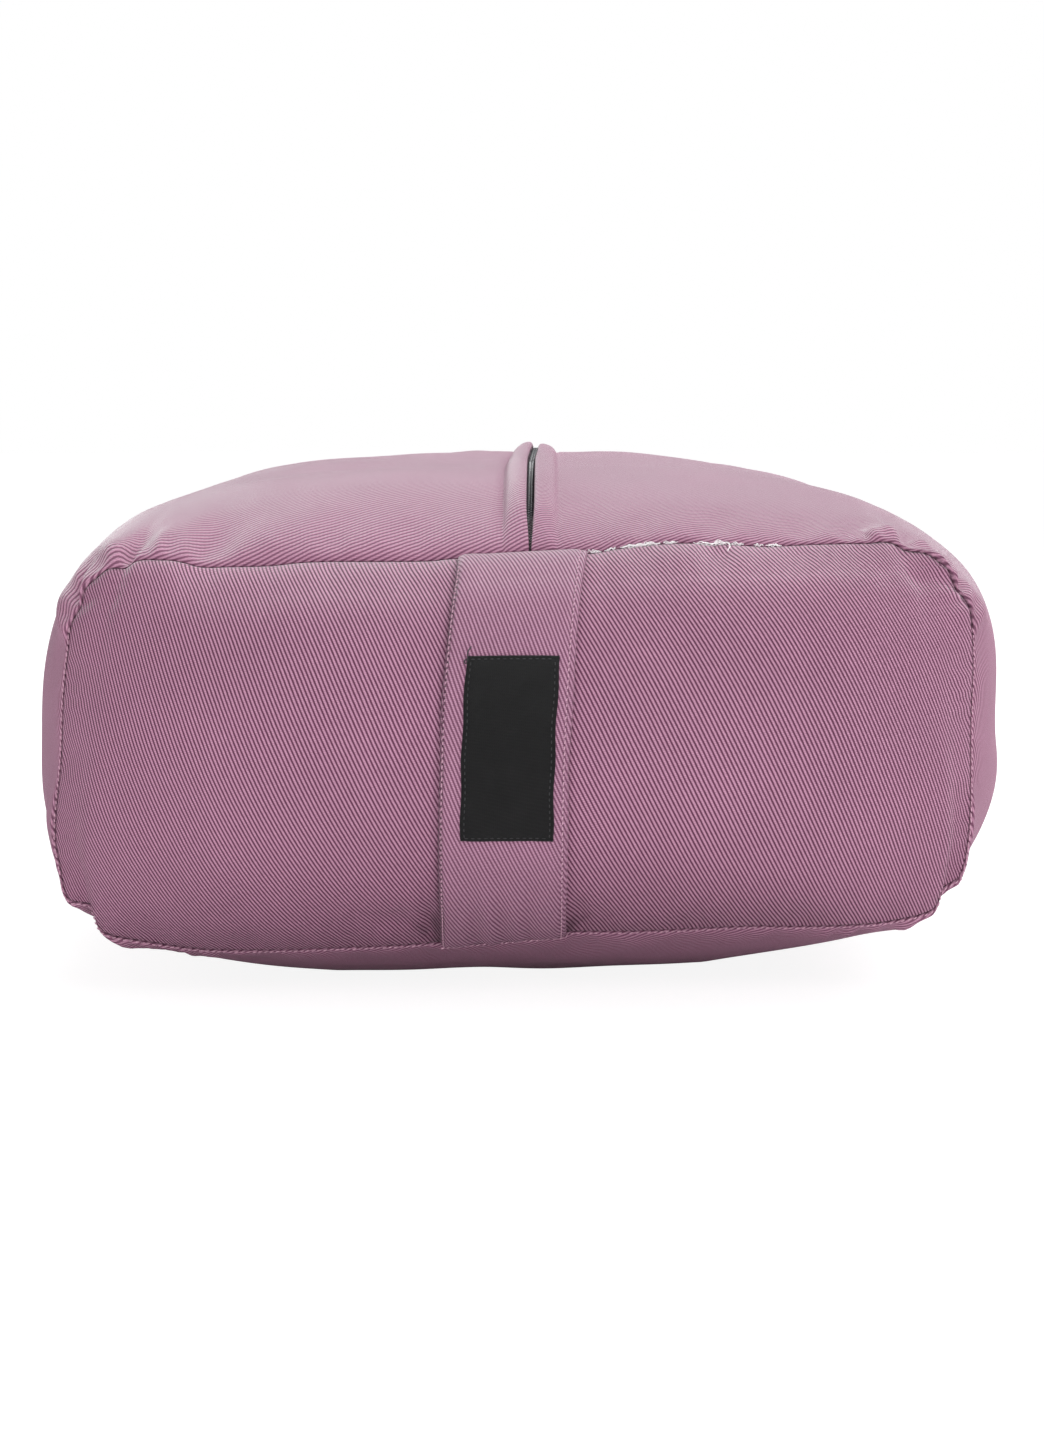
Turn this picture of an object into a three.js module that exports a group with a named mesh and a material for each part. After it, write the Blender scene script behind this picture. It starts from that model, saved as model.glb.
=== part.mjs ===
// A rectangular yoga bolster lying on its base, the zip on top and the handle end towards -Y.
// One strip of twill wraps the top, sides and base and closes along the zip. A crowned panel of
// the same twill is sewn to it at each end, and a strap handle with a woven label is sewn over
// the front panel from seam to seam.
// Millimetres, +Z up. The origin is on the floor under the middle of the bolster.
import * as THREE from "three";
import { mergeVertices } from "three/addons/utils/BufferGeometryUtils.js";

// Driving sizes
const WIDTH = 306; // over the bulged sides, half way along
const HEIGHT = 161.4; // floor to the top, half way along
const TOP_TILT = 0.9; // the left side of the top stands this much over its middle
const SEAM_Y = 265; // from the middle of the bolster to each end seam
const END_BULGE = 41; // how far each end panel swells past its seam
const RIM_SLANT = { across: 0.6, up: 0.5 }; // how far the panel's rim is slanted and not upright
const RIM_SLANT_POWER = 2.4;
const SEAM_LEAN = 8; // the foot of an end seam lies this much further in than its head
const RIM = 88; // the cloth curves over this far from a seam before it runs level
const LENGTHWISE_SWELL = 0.05; // share of the swelling that is spread over the whole length
const LEAN_FADES_OVER = 150;
const BODY_Y = 2.2; // the body sits back by half the depth of the strap and label in front of it

// The section half way along: two rounded halves that meet at the belly line, flat on the floor
const BELLY_Z = 72;
const TOP_ROUNDNESS = { left: 3.12, right: 3.02 };
const BASE_ROUNDNESS = { left: 2.65, right: 2.15 };
const BASE_PRESSED = { left: 2, right: 4 }; // depth of the round base that the floor presses flat
const FLOOR_PRESSES = 0.45; // depth of the base's slow rise to its ends that is pressed flat too

// Cloth thicknesses and the gap kept between sewn pieces
const PANEL_THICK = 2;
const STRAP_THICK = 2.6;
const STRAP_THICK_IN_SEAM = 1.3;
const STRAP_EDGE_SHARE = 0.7; // its rolled edges are this share of its thickness
const STRAP_THINS_POWER = 8; // it thins only close to the seams
const LABEL_THICK = 1;
const CLEARANCE = 0.36; // between the rims of the cushion and the end panels
const STRAP_CLEARANCE = 0.4;
const FILL_BEHIND_PANEL = 1.2; // the filling stays this far behind the panels, where their faces curve

// The end panel's four corners in order round its outline, seen from in front. A tuck is a fold
// of the corner that the seam has caught, which pulls the outline in.
const END_CORNERS = [
  { name: "bottom left", x: -143.5, z: 12.2, radius: 30 },
  { name: "bottom right", x: 137.4, z: 20.6, radius: 24 },
  { name: "top right", x: 139.2, z: 138.9, radius: 26 },
  { name: "top left", x: -135.6, z: 133.0, radius: 12 },
];
const PANEL_HEIGHT = 118;
const PANEL_MIDDLE_Z = 75;
const CORNERS_FROM_X = 112;

// Tucks at the foot of the outline: how deep, how far up the side it starts, over what length
// it comes in, and over what length of the base it fades away
const TUCKS = {
  left: { depth: 4, start: 0, comesIn: 16, fades: 26 },
  right: { depth: 2.8, start: 2, comesIn: 13, fades: 18 },
};
const TUCK_SHARE_IN_BASE = 1;
const TUCK_GROOVE = { depth: 1.3, reach: 62 }; // the groove that it leaves in the wrap
const GROOVE_SLANT = 0.4; // the groove is cut towards the middle, less across than up

// Puckers that run away from the end seam: the side they are on, where along it (x on the top
// and base, z on the sides), their depth in the wrap and in the panel, how far the seam is pulled
// in, their half width, and how far they reach from the seam
const PUCKERS = [
  { side: "top", at: -120, wrap: 1.8, panel: 0.5, seam: 0.8, half: 5, reach: 26 },
  { side: "top", at: -94, wrap: 1.2, panel: 0.6, seam: 1.4, half: 9, reach: 30 },
  { side: "top", at: 64, wrap: 0.7, panel: 0.9, seam: 0.5, half: 6, reach: 22 },
  { side: "top", at: 118, wrap: 1.4, panel: 0.4, seam: 1.2, half: 6, reach: 24 },
  { side: "left", at: 118, wrap: 1.6, panel: 0.4, seam: 0.6, half: 5, reach: 20 },
  { side: "left", at: 52, wrap: 0.8, panel: 0.6, seam: 0.2, half: 10, reach: 30 },
  { side: "right", at: 121, wrap: 1.5, panel: 0.5, seam: 0.8, half: 5, reach: 22 },
  { side: "right", at: 86, wrap: 0.8, panel: 0.5, seam: 0.2, half: 10, reach: 30 },
  { side: "bottom", at: -72, wrap: 0.9, panel: 0.7, seam: 0.3, half: 9, reach: 24 },
  { side: "bottom", at: 58, wrap: 0.9, panel: 0.7, seam: 0.3, half: 9, reach: 24 },
];
const PUCKER_DEEPEST_AT = 7; // distance from the seam
const PUCKER_INTO_PANEL = 0.7; // share of the panel's half height or width that it can reach

// The zip line along the top: the wrap's folded edges stand up on both sides of a narrow slot
const ZIP_X_FRONT = 3;
const ZIP_X_BACK = 7;
const LIP_OFFSETS = [-9, -6, -3, -1.3, -1.1, 1.1, 1.3, 3, 6, 9];
const LIP_HEIGHTS = { 9: 0, 6: 1.9, 3: 2.9, 1.3: 2.5 };
const LIP_EDGE = 1.3;
const SLOT_FLOOR = -0.4;
const LIPS_SEWN_IN = { share: 0.35, over: 15 }; // they are lower where the end seam holds them
const SLOT_OPENS_FROM = 4;
const SLOT_OPEN_AT = 19;
const COIL_HALF_WIDTH = 0.75;
const COIL_TOP = 2;
const COIL_SIDE_DROP = 0.5;

// The strap handle: its middle line leans to the right over its upper half
const STRAP_HALF_WIDTH = 19.2;
const STRAP_FOOT_X = -5.1;
const STRAP_HEAD_X = 0.9;
const STRAP_LEAN_POWER = 3.2;
const STRAP_ENDS_AT = THREE.MathUtils.degToRad(88);

// The label on the strap, and the angles round the panel's crown between which it lies
const LABEL_WIDTH = 27.5;
const LABEL_OFFSET = 1;
const LABEL_FOOT_ANGLE = THREE.MathUtils.degToRad(-24);
const LABEL_HEAD_ANGLE = THREE.MathUtils.degToRad(28.7);

// How finely the cloth is divided
const RIM_STEPS = 6;
const END_ROW_STEPS = 7;
const MIDDLE_ROW_STEPS = 8;
const HEIGHT_STEPS = 16;
const PLAIN_COLUMN = 0.2;
const PATH_SAMPLES = 240;
const FINE_SAMPLES = 1200;

const HALF_PI = Math.PI / 2;
const PANEL_HALF_WIDTH = 139;
const RIM_SHARE = RIM / PANEL_HALF_WIDTH;
const ON_SEAM = 1e-6; // a point this close to an edge of the patch is on it
const { lerp, clamp, smoothstep } = THREE.MathUtils;

const twill = new THREE.MeshStandardMaterial({ color: 0xa27a8f, roughness: 0.9, metalness: 0 });
const strapTwill = new THREE.MeshStandardMaterial({ color: 0xa67e92, roughness: 0.9, metalness: 0 });
const labelSatin = new THREE.MeshStandardMaterial({ color: 0x2c2b2b, roughness: 0.6, metalness: 0 });
const zipNylon = new THREE.MeshStandardMaterial({ color: 0x3c3d42, roughness: 0.4, metalness: 0 });

// The arc that rounds corner i of the end panel, from its first tangent point to its second
function cornerArc(i) {
  const count = END_CORNERS.length;
  const at = (k) => new THREE.Vector2(END_CORNERS[k % count].x, END_CORNERS[k % count].z);
  const corner = at(i);
  const back = at(i + count - 1).sub(corner).normalize();
  const on = at(i + 1).sub(corner).normalize();
  const half = Math.acos(back.dot(on)) / 2;
  const radius = END_CORNERS[i % count].radius;
  const centre = back.clone().add(on).normalize().multiplyScalar(radius / Math.sin(half)).add(corner);
  const run = radius / Math.tan(half);
  const start = back.clone().multiplyScalar(run).add(corner).sub(centre).angle();
  const end = on.clone().multiplyScalar(run).add(corner).sub(centre).angle();
  return { centre, radius, start, turn: THREE.MathUtils.euclideanModulo(end - start, 2 * Math.PI) };
}

// One side of the end outline, from the middle of one corner's round to the middle of the next
function outlineSide(i) {
  const first = cornerArc(i);
  const last = cornerArc((i + 1) % END_CORNERS.length);
  const arc = (c, from, to) => new THREE.EllipseCurve(
    c.centre.x, c.centre.y, c.radius, c.radius, c.start + c.turn * from, c.start + c.turn * to);
  const path = new THREE.CurvePath();
  const roundOut = arc(first, 0.5, 1);
  const roundIn = arc(last, 0, 0.5);
  path.add(roundOut);
  path.add(new THREE.LineCurve(roundOut.getPoint(1), roundIn.getPoint(0)));
  path.add(roundIn);
  return path.getSpacedPoints(PATH_SAMPLES);
}

function hump(distance, half) {
  return Math.exp(-((distance / half) ** 2));
}

// How far the outline is pulled in by a tuck, at a distance up the side from the corner
function tuckDepth(tuck, up) {
  if (up > tuck.start) {
    return tuck.depth * (1 - smoothstep(up, tuck.start, tuck.start + tuck.comesIn));
  }
  return tuck.depth * hump(tuck.start - up, tuck.fades) * (up < 0 ? TUCK_SHARE_IN_BASE : 1);
}

// Pulls a side's points towards the panel's middle by the tucks and puckers that it carries
function pulledIn(points, side) {
  const length = points[0].distanceTo(points[points.length - 1]);
  const level = side === "top" || side === "bottom";
  return points.map((p, k) => {
    const share = k / (points.length - 1);
    let pull = 0;
    if (side === "bottom") {
      pull += tuckDepth(TUCKS.left, -share * length) + tuckDepth(TUCKS.right, -(1 - share) * length);
    } else if (TUCKS[side]) {
      pull += tuckDepth(TUCKS[side], share * length);
    }
    for (const pucker of PUCKERS.filter((each) => each.side === side)) {
      pull += pucker.seam * hump((level ? p.x : p.y) - pucker.at, pucker.half);
    }
    const inward = new THREE.Vector2(-Math.sign(p.x) * (Math.abs(p.x) > CORNERS_FROM_X ? 1 : 0),
      (PANEL_MIDDLE_Z - p.y) / PANEL_HEIGHT).normalize();
    return p.clone().addScaledVector(inward, pull);
  });
}

// The four sides of the front outline, each from left to right or upwards
const FRONT = {
  bottom: pulledIn(outlineSide(0), "bottom"),
  right: pulledIn(outlineSide(1), "right"),
  top: pulledIn(outlineSide(2).reverse(), "top"),
  left: pulledIn(outlineSide(3).reverse(), "left"),
};
for (const [level, upright, end] of [["bottom", "left", 0], ["bottom", "right", 0],
  ["top", "left", 1], ["top", "right", 1]]) {
  const across = upright === "left" ? 0 : PATH_SAMPLES;
  const up = end ? PATH_SAMPLES : 0;
  const shared = FRONT[level][across].clone().add(FRONT[upright][up]).multiplyScalar(0.5);
  FRONT[level][across].copy(shared);
  FRONT[upright][up].copy(shared);
}

// The same panel sewn on at the back, seen from the front
const turned = (points) => points.map((p) => new THREE.Vector2(-p.x, p.y));
const BACK = {
  bottom: turned(FRONT.bottom).reverse(),
  right: turned(FRONT.left),
  top: turned(FRONT.top).reverse(),
  left: turned(FRONT.right),
};

// A point of the section half way along, at an angle round it
function sectionPoint(angle) {
  const c = Math.cos(angle);
  const s = Math.sin(angle);
  const half = c < 0 ? "left" : "right";
  const roundness = (s > 0 ? TOP_ROUNDNESS : BASE_ROUNDNESS)[half];
  const reach = s > 0 ? HEIGHT - BELLY_Z : BELLY_Z + BASE_PRESSED[half];
  const x = (WIDTH / 2) * Math.sign(c) * Math.abs(c) ** (2 / roundness);
  const z = BELLY_Z + reach * Math.sign(s) * Math.abs(s) ** (2 / roundness);
  const tilt = -TOP_TILT * (x / (WIDTH / 2)) * clamp(s, 0, 1);
  return new THREE.Vector2(x, Math.max(z + tilt, 0));
}

function sectionSide(from, to) {
  const angles = Array.from({ length: FINE_SAMPLES + 1 }, (_, k) => lerp(from, to, k / FINE_SAMPLES));
  return new THREE.Path(angles.map(sectionPoint)).getSpacedPoints(PATH_SAMPLES);
}

const EIGHTH = Math.PI / 4;
const MIDDLE = {
  bottom: sectionSide(5 * EIGHTH, 7 * EIGHTH),
  right: sectionSide(-EIGHTH, EIGHTH),
  top: sectionSide(3 * EIGHTH, EIGHTH),
  left: sectionSide(5 * EIGHTH, 3 * EIGHTH),
};

function along(points, share) {
  const at = clamp(share, 0, 1) * (points.length - 1);
  const k = Math.min(Math.floor(at), points.length - 2);
  return points[k].clone().lerp(points[k + 1], at - k);
}

// The patch that four sides bound, at s across and w up, both from -1 to 1: the two ruled
// surfaces between opposite sides, less the one between the corners
function patch(sides, s, w) {
  const a = (s + 1) / 2;
  const b = (w + 1) / 2;
  const foot = along(sides.bottom, a);
  const head = along(sides.top, a);
  const left = along(sides.left, b);
  const right = along(sides.right, b);
  const corner = (side, end) => sides[side][end * (sides[side].length - 1)];
  const blend = (axis) => (1 - b) * foot[axis] + b * head[axis] + (1 - a) * left[axis] + a * right[axis]
    - (1 - a) * (1 - b) * corner("bottom", 0)[axis] - a * (1 - b) * corner("bottom", 1)[axis]
    - (1 - a) * b * corner("top", 0)[axis] - a * b * corner("top", 1)[axis];
  return new THREE.Vector2(blend("x"), blend("y"));
}

// Share of the way from the end outline to the full section, at a distance from the seam
function swell(distance) {
  const over = 1 - clamp(distance / RIM, 0, 1);
  const whole = 1 - (1 - distance / SEAM_Y) ** 2;
  return (1 - LENGTHWISE_SWELL) * Math.sqrt(1 - over * over) + LENGTHWISE_SWELL * whole;
}

// Swelling of a panel against its share of the way out to the rim: partly a quarter ellipse,
// partly a power curve that meets the seam at a slant
function slantedEllipse(share, slant) {
  return (1 - slant) * Math.sqrt(clamp(1 - share * share, 0, 1)) + slant * (1 - share ** RIM_SLANT_POWER);
}

// Share of the end panel's full swelling at s across and w up
function crown(s, w) {
  const rim = clamp((Math.abs(s) - (1 - RIM_SHARE)) / RIM_SHARE, 0, 1);
  return slantedEllipse(rim, RIM_SLANT.across) * slantedEllipse(Math.abs(w), RIM_SLANT.up);
}

// Depth of the puckers at a point of the outline, at a distance from the seam
function puckers(kind, s, w, x, z, distance) {
  let sum = 0;
  for (const pucker of PUCKERS) {
    const off = { top: 1 - w, bottom: 1 + w, left: 1 + s, right: 1 - s }[pucker.side];
    const place = pucker.side === "top" || pucker.side === "bottom" ? x : z;
    const rise = (distance / PUCKER_DEEPEST_AT) * Math.exp(1 - distance / PUCKER_DEEPEST_AT);
    const fade = 1 - smoothstep(distance, pucker.reach * 0.5, pucker.reach);
    const near = kind === "wrap" ? (off < ON_SEAM ? 1 : 0) : 1 - smoothstep(off, 0, PUCKER_INTO_PANEL);
    sum += pucker[kind] * hump(place - pucker.at, pucker.half) * rise * fade * near;
  }
  return sum;
}

// Depth of the groove that the tucks leave in the wrap, at a point of the front end's outline
function tuckGroove(s, w, distance) {
  let sum = 0;
  for (const side of ["left", "right"]) {
    const points = FRONT[side];
    const length = points[0].distanceTo(points[points.length - 1]);
    const off = side === "left" ? 1 + s : 1 - s;
    const width = FRONT.bottom[0].distanceTo(FRONT.bottom[FRONT.bottom.length - 1]);
    const up = off < ON_SEAM ? ((w + 1) / 2) * length : -(off / 2) * width;
    const fade = 1 - smoothstep(distance, 0, TUCK_GROOVE.reach);
    const onSeam = off < ON_SEAM || w === -1 ? 1 : 0;
    sum += tuckDepth(TUCKS[side], up) * TUCK_GROOVE.depth * swell(distance) * fade * onSeam;
  }
  return sum;
}

const leanAt = (z) => (SEAM_LEAN * (PANEL_MIDDLE_Z - z)) / PANEL_HEIGHT;

// Ring of cloth at a distance back from the front seam
function ringPoint(s, w, back) {
  const front = back <= SEAM_Y;
  const near = front ? back : 2 * SEAM_Y - back;
  const end = patch(front ? FRONT : BACK, s, w);
  const point = end.clone().lerp(patch(MIDDLE, s, w), swell(near));
  const side = front ? 1 : -1;
  const depth = puckers("wrap", side * s, w, side * end.x, end.y, near);
  const outward = new THREE.Vector2(Math.abs(s) === 1 ? s : 0, Math.abs(w) === 1 ? w : 0).normalize();
  point.addScaledVector(outward, -depth);
  const toMiddle = new THREE.Vector2(-point.x * GROOVE_SLANT, PANEL_MIDDLE_Z - point.y).normalize();
  point.addScaledVector(toMiddle, tuckGroove(side * s, w, near));
  point.y -= FLOOR_PRESSES * swell(near);
  const lean = leanAt(end.y) * clamp(1 - near / LEAN_FADES_OVER, 0, 1);
  return new THREE.Vector3(point.x, -SEAM_Y + back + side * lean, Math.max(point.y, 0));
}

const zipX = (back) => lerp(ZIP_X_FRONT, ZIP_X_BACK, back / (2 * SEAM_Y));

// Columns across the cloth: rim columns on quarter-ellipse steps, one plain column each side of
// the zip, and columns that follow the zip's lips
const rimColumns = Array.from({ length: RIM_STEPS + 1 },
  (_, k) => 1 - RIM_SHARE * (1 - Math.cos((k / RIM_STEPS) * HALF_PI)));
const COLUMNS = [
  ...rimColumns.map((s) => ({ s: -s })),
  { s: -PLAIN_COLUMN },
  ...LIP_OFFSETS.map((offset) => ({ offset })),
  { s: PLAIN_COLUMN },
  ...rimColumns.map((s) => ({ s })).reverse(),
];

// Rows back from the front seam: quarter-ellipse steps at both ends, even steps between
const endRows = Array.from({ length: END_ROW_STEPS + 1 },
  (_, k) => RIM * (1 - Math.cos((k / END_ROW_STEPS) * HALF_PI)));
const ROWS = [
  ...endRows,
  ...Array.from({ length: MIDDLE_ROW_STEPS - 1 },
    (_, k) => lerp(RIM, 2 * SEAM_Y - RIM, (k + 1) / MIDDLE_ROW_STEPS)),
  ...endRows.map((row) => 2 * SEAM_Y - row).reverse(),
];
const LEVELS = Array.from({ length: HEIGHT_STEPS + 1 }, (_, k) => -Math.cos((k / HEIGHT_STEPS) * Math.PI));

// Place of a column between -1 and 1: a lip column keeps its offset from the zip line
function columnAt(column, back) {
  if (column.s !== undefined) {
    return column.s;
  }
  const left = ringPoint(-PLAIN_COLUMN, 1, back).x;
  const right = ringPoint(PLAIN_COLUMN, 1, back).x;
  const target = zipX(back) + column.offset;
  return lerp(-PLAIN_COLUMN, PLAIN_COLUMN, (target - left) / (right - left));
}

// Height of a lip column over the plain wrap, low at the end seams where the lips are sewn in
function lipHeight(offset, back) {
  const near = Math.min(back, 2 * SEAM_Y - back);
  const stands = lerp(LIPS_SEWN_IN.share, 1, smoothstep(near, 0, LIPS_SEWN_IN.over));
  const open = smoothstep(near, SLOT_OPENS_FROM, SLOT_OPEN_AT);
  if (Math.abs(offset) < LIP_EDGE) {
    return lerp(LIP_HEIGHTS[LIP_EDGE] * stands, SLOT_FLOOR, open);
  }
  return LIP_HEIGHTS[Math.abs(offset)] * stands;
}

// A closed block whose grid points are each moved to the place that a function gives them
function formed(steps, place) {
  const block = new THREE.BoxGeometry(2, 2, 2, ...steps);
  block.deleteAttribute("normal");
  block.deleteAttribute("uv");
  const solid = mergeVertices(block, 1e-5);
  const position = solid.attributes.position;
  const index = (value, count) => Math.round(((value + 1) / 2) * count);
  for (let i = 0; i < position.count; i += 1) {
    const grid = steps.map((count, axis) => index(position.getComponent(i, axis), count));
    const point = place(...grid);
    position.setXYZ(i, point.x, point.y + BODY_Y, point.z);
  }
  solid.computeVertexNormals();
  return solid;
}

function mesh(name, geometry, material) {
  const piece = new THREE.Mesh(geometry, material);
  piece.name = name;
  return piece;
}

// A point of an end panel's inner face; the front end has side 1 and the back end side -1
function panelInner(s, w, side) {
  const flat = patch(side > 0 ? FRONT : BACK, s, w);
  const swelling = (END_BULGE - PANEL_THICK) * crown(s, w);
  const inFromRim = Math.min((PANEL_HEIGHT / 2) * (1 - Math.abs(w)), PANEL_HALF_WIDTH * (1 - Math.abs(s)));
  const dip = puckers("panel", side * s, w, side * flat.x, flat.y, inFromRim);
  const y = side * (-SEAM_Y + leanAt(flat.y) - swelling + Math.min(dip, swelling));
  return new THREE.Vector3(flat.x, y, flat.y);
}

// The filled body in its wrap, with its ends just behind the end panels
function bodyPoint(i, j, k) {
  const back = ROWS[j];
  const s = columnAt(COLUMNS[i], back);
  const w = LEVELS[k];
  const atEnd = j === 0 || j === ROWS.length - 1;
  if (atEnd) {
    const side = j === 0 ? 1 : -1;
    const point = panelInner(s, w, side);
    const onRim = i === 0 || i === COLUMNS.length - 1 || k === 0 || k === HEIGHT_STEPS;
    point.y += side * (onRim ? CLEARANCE : FILL_BEHIND_PANEL);
    return point;
  }
  const point = ringPoint(s, w, back);
  if (k === HEIGHT_STEPS && COLUMNS[i].offset !== undefined) {
    point.z += lipHeight(COLUMNS[i].offset, back);
  }
  return point;
}

function endPanel(side) {
  const seam = side > 0 ? 0 : 2 * SEAM_Y;
  return formed([COLUMNS.length - 1, 1, HEIGHT_STEPS], (i, j, k) => {
    const point = panelInner(columnAt(COLUMNS[i], seam), LEVELS[k], side);
    const outer = side > 0 ? j === 0 : j === 1;
    if (outer) {
      point.y -= side * PANEL_THICK;
    }
    return point;
  });
}

// The outer face of the front panel, and the way out from it
function panelOuter(s, w) {
  const point = panelInner(s, w, 1);
  point.y -= PANEL_THICK;
  return point;
}

function outFromPanel(s, w) {
  const step = 1e-3;
  const limit = 1 - step;
  const across = panelOuter(s + step, w).sub(panelOuter(s - step, w));
  const up = panelOuter(s, Math.min(w + step, limit)).sub(panelOuter(s, Math.max(w - step, -limit)));
  return across.cross(up).normalize();
}

// A point over the front panel: x across, an angle up round its crown, and a lift off its face
function overPanel(x, angle, lift) {
  const w = Math.sin(angle);
  const left = panelOuter(-PLAIN_COLUMN, w).x;
  const right = panelOuter(PLAIN_COLUMN, w).x;
  const s = lerp(-PLAIN_COLUMN, PLAIN_COLUMN, (x - left) / (right - left));
  return panelOuter(s, w).addScaledVector(outFromPanel(s, w), lift);
}

// Middle line of the strap, from its foot in the lower seam to its head in the upper one
function strapMiddle(angle) {
  const share = (Math.sin(angle) + 1) / 2;
  return lerp(STRAP_FOOT_X, STRAP_HEAD_X, share ** STRAP_LEAN_POWER);
}

function strap() {
  const steps = [6, 1, 28];
  return formed(steps, (i, j, k) => {
    const angle = lerp(-STRAP_ENDS_AT, STRAP_ENDS_AT, k / steps[2]);
    const edge = (2 * i) / steps[0] - 1;
    const inSeam = (Math.abs(angle) / HALF_PI) ** STRAP_THINS_POWER;
    const rolled = Math.abs(edge) === 1 ? STRAP_EDGE_SHARE : 1;
    const thick = lerp(STRAP_THICK, STRAP_THICK_IN_SEAM, inSeam) * rolled;
    const lift = STRAP_CLEARANCE + (j === 0 ? thick : 0);
    return overPanel(strapMiddle(angle) + edge * STRAP_HALF_WIDTH, angle, lift);
  });
}

function label() {
  const steps = [4, 1, 10];
  return formed(steps, (i, j, k) => {
    const angle = lerp(LABEL_FOOT_ANGLE, LABEL_HEAD_ANGLE, k / steps[2]);
    const x = strapMiddle(angle) + LABEL_OFFSET + LABEL_WIDTH * (i / steps[0] - 0.5);
    const lift = STRAP_CLEARANCE + STRAP_THICK + STRAP_CLEARANCE + (j === 0 ? LABEL_THICK : 0);
    return overPanel(x, angle, lift);
  });
}

// The zip's closed coil, lying in the slot between the lips
function zipCoil() {
  const rows = ROWS.filter((back) => Math.min(back, 2 * SEAM_Y - back) >= SLOT_OPEN_AT - 0.5);
  return formed([2, rows.length - 1, 1], (i, j, k) => {
    const back = rows[j];
    const offset = (i - 1) * COIL_HALF_WIDTH;
    const point = ringPoint(columnAt({ offset }, back), 1, back);
    point.z += k === 0 ? SLOT_FLOOR + CLEARANCE : COIL_TOP - (i === 1 ? 0 : COIL_SIDE_DROP);
    return point;
  });
}

const bolster = new THREE.Group();
bolster.add(
  mesh("cushion", formed([COLUMNS.length - 1, ROWS.length - 1, HEIGHT_STEPS], bodyPoint), twill),
  mesh("end_panel_front", endPanel(1), twill),
  mesh("end_panel_back", endPanel(-1), twill),
  mesh("handle_strap", strap(), strapTwill),
  mesh("label", label(), labelSatin),
  mesh("zip", zipCoil(), zipNylon),
);

export default bolster;
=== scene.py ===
# %% [markdown]
# # A yoga bolster in mauve twill
# The bolster is a filled cushion about 306 mm wide, 617 mm long and 161 mm high. One strip of
# cotton twill wraps its top, sides and base and closes along a zip on top. A panel of the same
# twill is sewn on at each end, and a strap handle with a woven label runs over the front panel.
# The scene works in millimetres until a surface becomes a mesh, and then in metres.

import math

import bpy
import numpy as np
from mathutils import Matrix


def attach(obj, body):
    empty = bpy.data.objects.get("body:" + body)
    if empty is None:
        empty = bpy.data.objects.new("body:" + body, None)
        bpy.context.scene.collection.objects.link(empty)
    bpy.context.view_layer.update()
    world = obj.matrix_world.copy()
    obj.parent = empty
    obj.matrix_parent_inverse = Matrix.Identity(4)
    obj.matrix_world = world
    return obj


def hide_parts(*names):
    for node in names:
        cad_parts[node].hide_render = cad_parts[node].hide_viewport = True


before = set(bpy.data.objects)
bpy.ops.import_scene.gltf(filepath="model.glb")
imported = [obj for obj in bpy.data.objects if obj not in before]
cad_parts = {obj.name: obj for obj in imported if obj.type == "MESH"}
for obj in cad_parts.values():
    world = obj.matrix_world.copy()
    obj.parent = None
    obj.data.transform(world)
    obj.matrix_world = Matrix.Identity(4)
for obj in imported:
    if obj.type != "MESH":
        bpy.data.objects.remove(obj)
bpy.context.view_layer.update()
MM = 0.001
print("solids in the frame:", sorted(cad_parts))

# %% [markdown]
# ## Camera
# The photograph looks at the end of the bolster from a little above, with a long lens. The eye
# stands 1.28 m in front of the end seam and 183 mm above the floor, and looks down by 4.4 degrees.

# %% Camera
SEAM_Y = 265.0
BODY_Y = 2.2
EYE = (0.6, BODY_Y - SEAM_Y - 1275.0, 182.6)
LOOKS_DOWN = math.radians(4.38)

lens = bpy.data.cameras.new("camera")
lens.lens = 105.3
lens.sensor_width = 36.0
lens.clip_start = 0.05
camera = bpy.data.objects.new("camera", lens)
camera.location = [value * MM for value in EYE]
camera.rotation_euler = (math.pi / 2 - LOOKS_DOWN, 0.0, 0.0)
bpy.context.scene.collection.objects.link(camera)
bpy.context.scene.camera = camera
print("camera at", [round(value, 4) for value in camera.location])

# %% [markdown]
# ## The outline of an end
# The end seam is a rounded rectangle that isn't true: the thread pulls it in here and there, and
# at both lower corners the seam has caught a fold of cloth, so the outline steps in. Points read
# along the seam and a smooth curve through them keep that. Four sides run from corner to corner,
# as evenly spaced points, so that a share from 0 to 1 names a place along them.

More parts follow.
